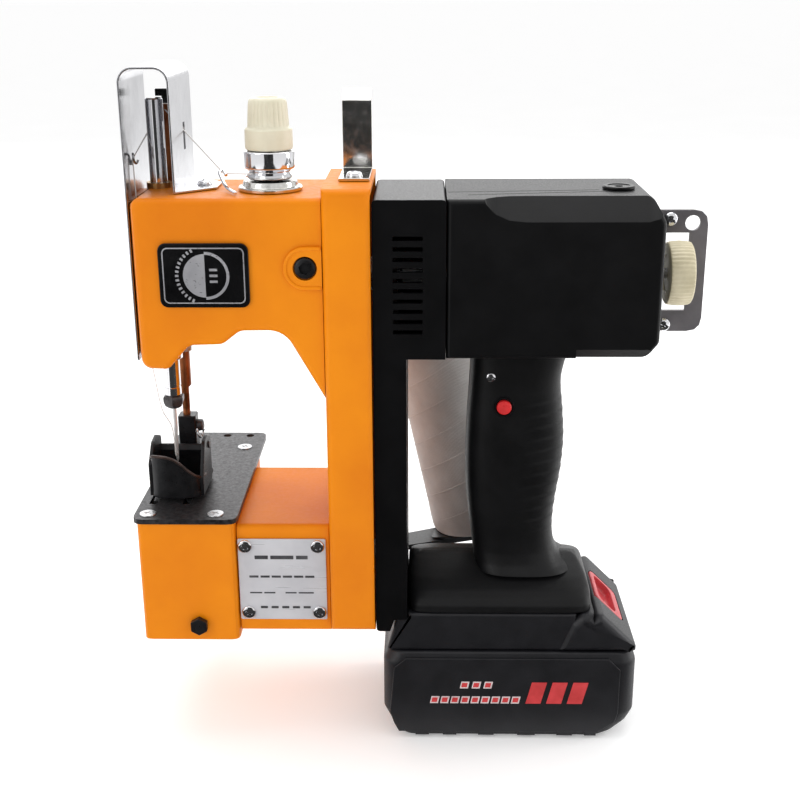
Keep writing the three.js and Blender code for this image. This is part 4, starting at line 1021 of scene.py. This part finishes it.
strung("thread_to_wire_hook", [(-66, -19.7, 284.0), (-71, -18.6, 283.6), (-80, -13, 282.9),
                               (-88.8, -7.2, 282.4)], "frame")
strung("thread_to_bar_hook", [(-88.8, -7.2, 282.4), (-98, -1.4, 291), (-110, 6, 302.2),
                              (-118.5, 12.4, 310.0)])
strung("thread_to_eyelet", [(-129.3, -11.8, 289.8), (-127, -5, 295), (-123, 4, 303.2),
                            (-119.5, 12.2, 310.2)])
strung("thread_to_needle", [(-129.3, -12.4, 289.8), (-128.9, -12.6, 270), (-128.6, -12.4, 230),
                            (-128.4, -11, 200), (-127.2, -8, 182), (-125.3, -6.0, 166), (-122.2, -2.6, 157),
                            (-121.2, -1.5, 148), (-121.0, -1.3, 140.2), (-120.5, 0.6, 139.6)])


# ---------------------------------------------------------------- studio and camera
def studio():
    bm = bmesh.new()
    bmesh.ops.create_grid(bm, x_segments=8, y_segments=8, size=40)
    mesh = bpy.data.meshes.new("floor")
    bm.to_mesh(mesh)
    bm.free()
    floor = new_object("floor", mesh)
    floor.location.z = cad_box[0].z - 0.0003
    made, tree, shader = nodes_of("floor_paper")
    drift = noise(tree, 6.0, 4.0)
    tree.links.new(ramp(tree, drift, [(0.3, (0.90, 0.90, 0.90)), (0.7, (0.93, 0.93, 0.93))]),
                   shader.inputs["Base Color"])
    shader.inputs["Roughness"].default_value = 0.9
    shader.inputs["Specular IOR Level"].default_value = 0.1
    shader.inputs["Emission Color"].default_value = (1, 1, 1, 1)
    shader.inputs["Emission Strength"].default_value = 0.20
    mesh.materials.append(made)

    world = bpy.data.worlds.new("studio")
    bpy.context.scene.world = world
    world.use_nodes = True
    tree = world.node_tree
    place = tree.nodes.new("ShaderNodeTexCoord")
    parts = tree.nodes.new("ShaderNodeSeparateXYZ")
    tree.links.new(place.outputs["Generated"], parts.inputs["Vector"])
    tone = ramp(tree, parts.outputs["Z"], [(0.0, (1.0,) * 3), (0.25, (0.98,) * 3), (0.75, (0.82,) * 3),
                                           (1.0, (0.75,) * 3)])
    tree.links.new(tone, tree.nodes["Background"].inputs["Color"])
    tree.nodes["Background"].inputs["Strength"].default_value = 1.0

    # a dark cloth in front and to the left that only reflections see, as the dim side of a studio
    bm = bmesh.new()
    level = cad_box[0].z + 0.0004
    near = ((-0.40, -0.052), (0.46, -0.052), (0.62, -1.7), (-0.62, -1.7))
    aside = ((-1.5, -0.7), (-0.85, -0.7), (-0.85, 0.3), (-1.5, 0.3))
    wall = ((-0.62, 0), (0.62, 0), (0.62, 0.9), (-0.62, 0.9))
    bm.faces.new([bm.verts.new((x, y, level)) for x, y in near])
    bm.faces.new([bm.verts.new((x, -1.7, z)) for x, z in wall])
    bm.faces.new([bm.verts.new((x, y, level)) for x, y in aside])
    mesh = bpy.data.meshes.new("dark_cloth")
    bm.to_mesh(mesh)
    bm.free()
    cloth = new_object("dark_cloth", mesh)
    mesh.materials.append(finish("dark_cloth", (0.015, 0.015, 0.015), (0.045, 0.045, 0.045), (0.8, 0.9),
                                 patch=5, specular=0.1))
    cloth.visible_camera = False
    cloth.visible_diffuse = False
    cloth.visible_shadow = False
    cloth.visible_transmission = False

    def lamp(name, place, target, size, power):
        light = bpy.data.lights.new(name, "AREA")
        light.shape = "RECTANGLE"
        light.size, light.size_y = size
        light.energy = power
        made = bpy.data.objects.new(name, light)
        bpy.context.scene.collection.objects.link(made)
        made.location = place
        made.visible_camera = False
        made.rotation_mode = "QUATERNION"
        made.rotation_quaternion = (Vector(target) - Vector(place)).to_track_quat("-Z", "Y")

    lamp("over", (-0.1, 0.25, 1.25), (0, 0, 0.15), (1.3, 0.8), 8)
    lamp("back_strip", (0, 2.2, 1.0), (0, 0, 0.2), (3.0, 0.9), 15)
    lamp("front_left", (-1.1, -0.9, 0.8), (-0.04, 0, 0.16), (0.5, 0.8), 3)
    lamp("right_rim", (1.1, 0.15, 0.5), (0.05, 0, 0.15), (0.3, 1.0), 5)


def camera():
    pitch, yaw, roll = math.radians(18.6), math.radians(1.2), math.radians(0.3)
    forward = Vector((-math.sin(yaw) * math.cos(pitch), math.cos(yaw) * math.cos(pitch), -math.sin(pitch)))
    right = Vector((math.cos(yaw), math.sin(yaw), 0))
    down = forward.cross(right)
    across = right * math.cos(roll) + down * math.sin(roll)
    drop = -right * math.sin(roll) + down * math.cos(roll)
    made = bpy.data.cameras.new("camera")
    made.lens = 54.9
    made.sensor_width = 36
    made.clip_start, made.clip_end = 0.02, 120
    seen = bpy.data.objects.new("camera", made)
    bpy.context.scene.collection.objects.link(seen)
    seen.matrix_world = Matrix.Translation((-0.0432, -0.5743, 0.3626)) @ Matrix(
        (across, -drop, -forward)).transposed().to_4x4()
    bpy.context.scene.camera = seen


studio()
camera()
bpy.context.scene.view_settings.view_transform = "Standard"
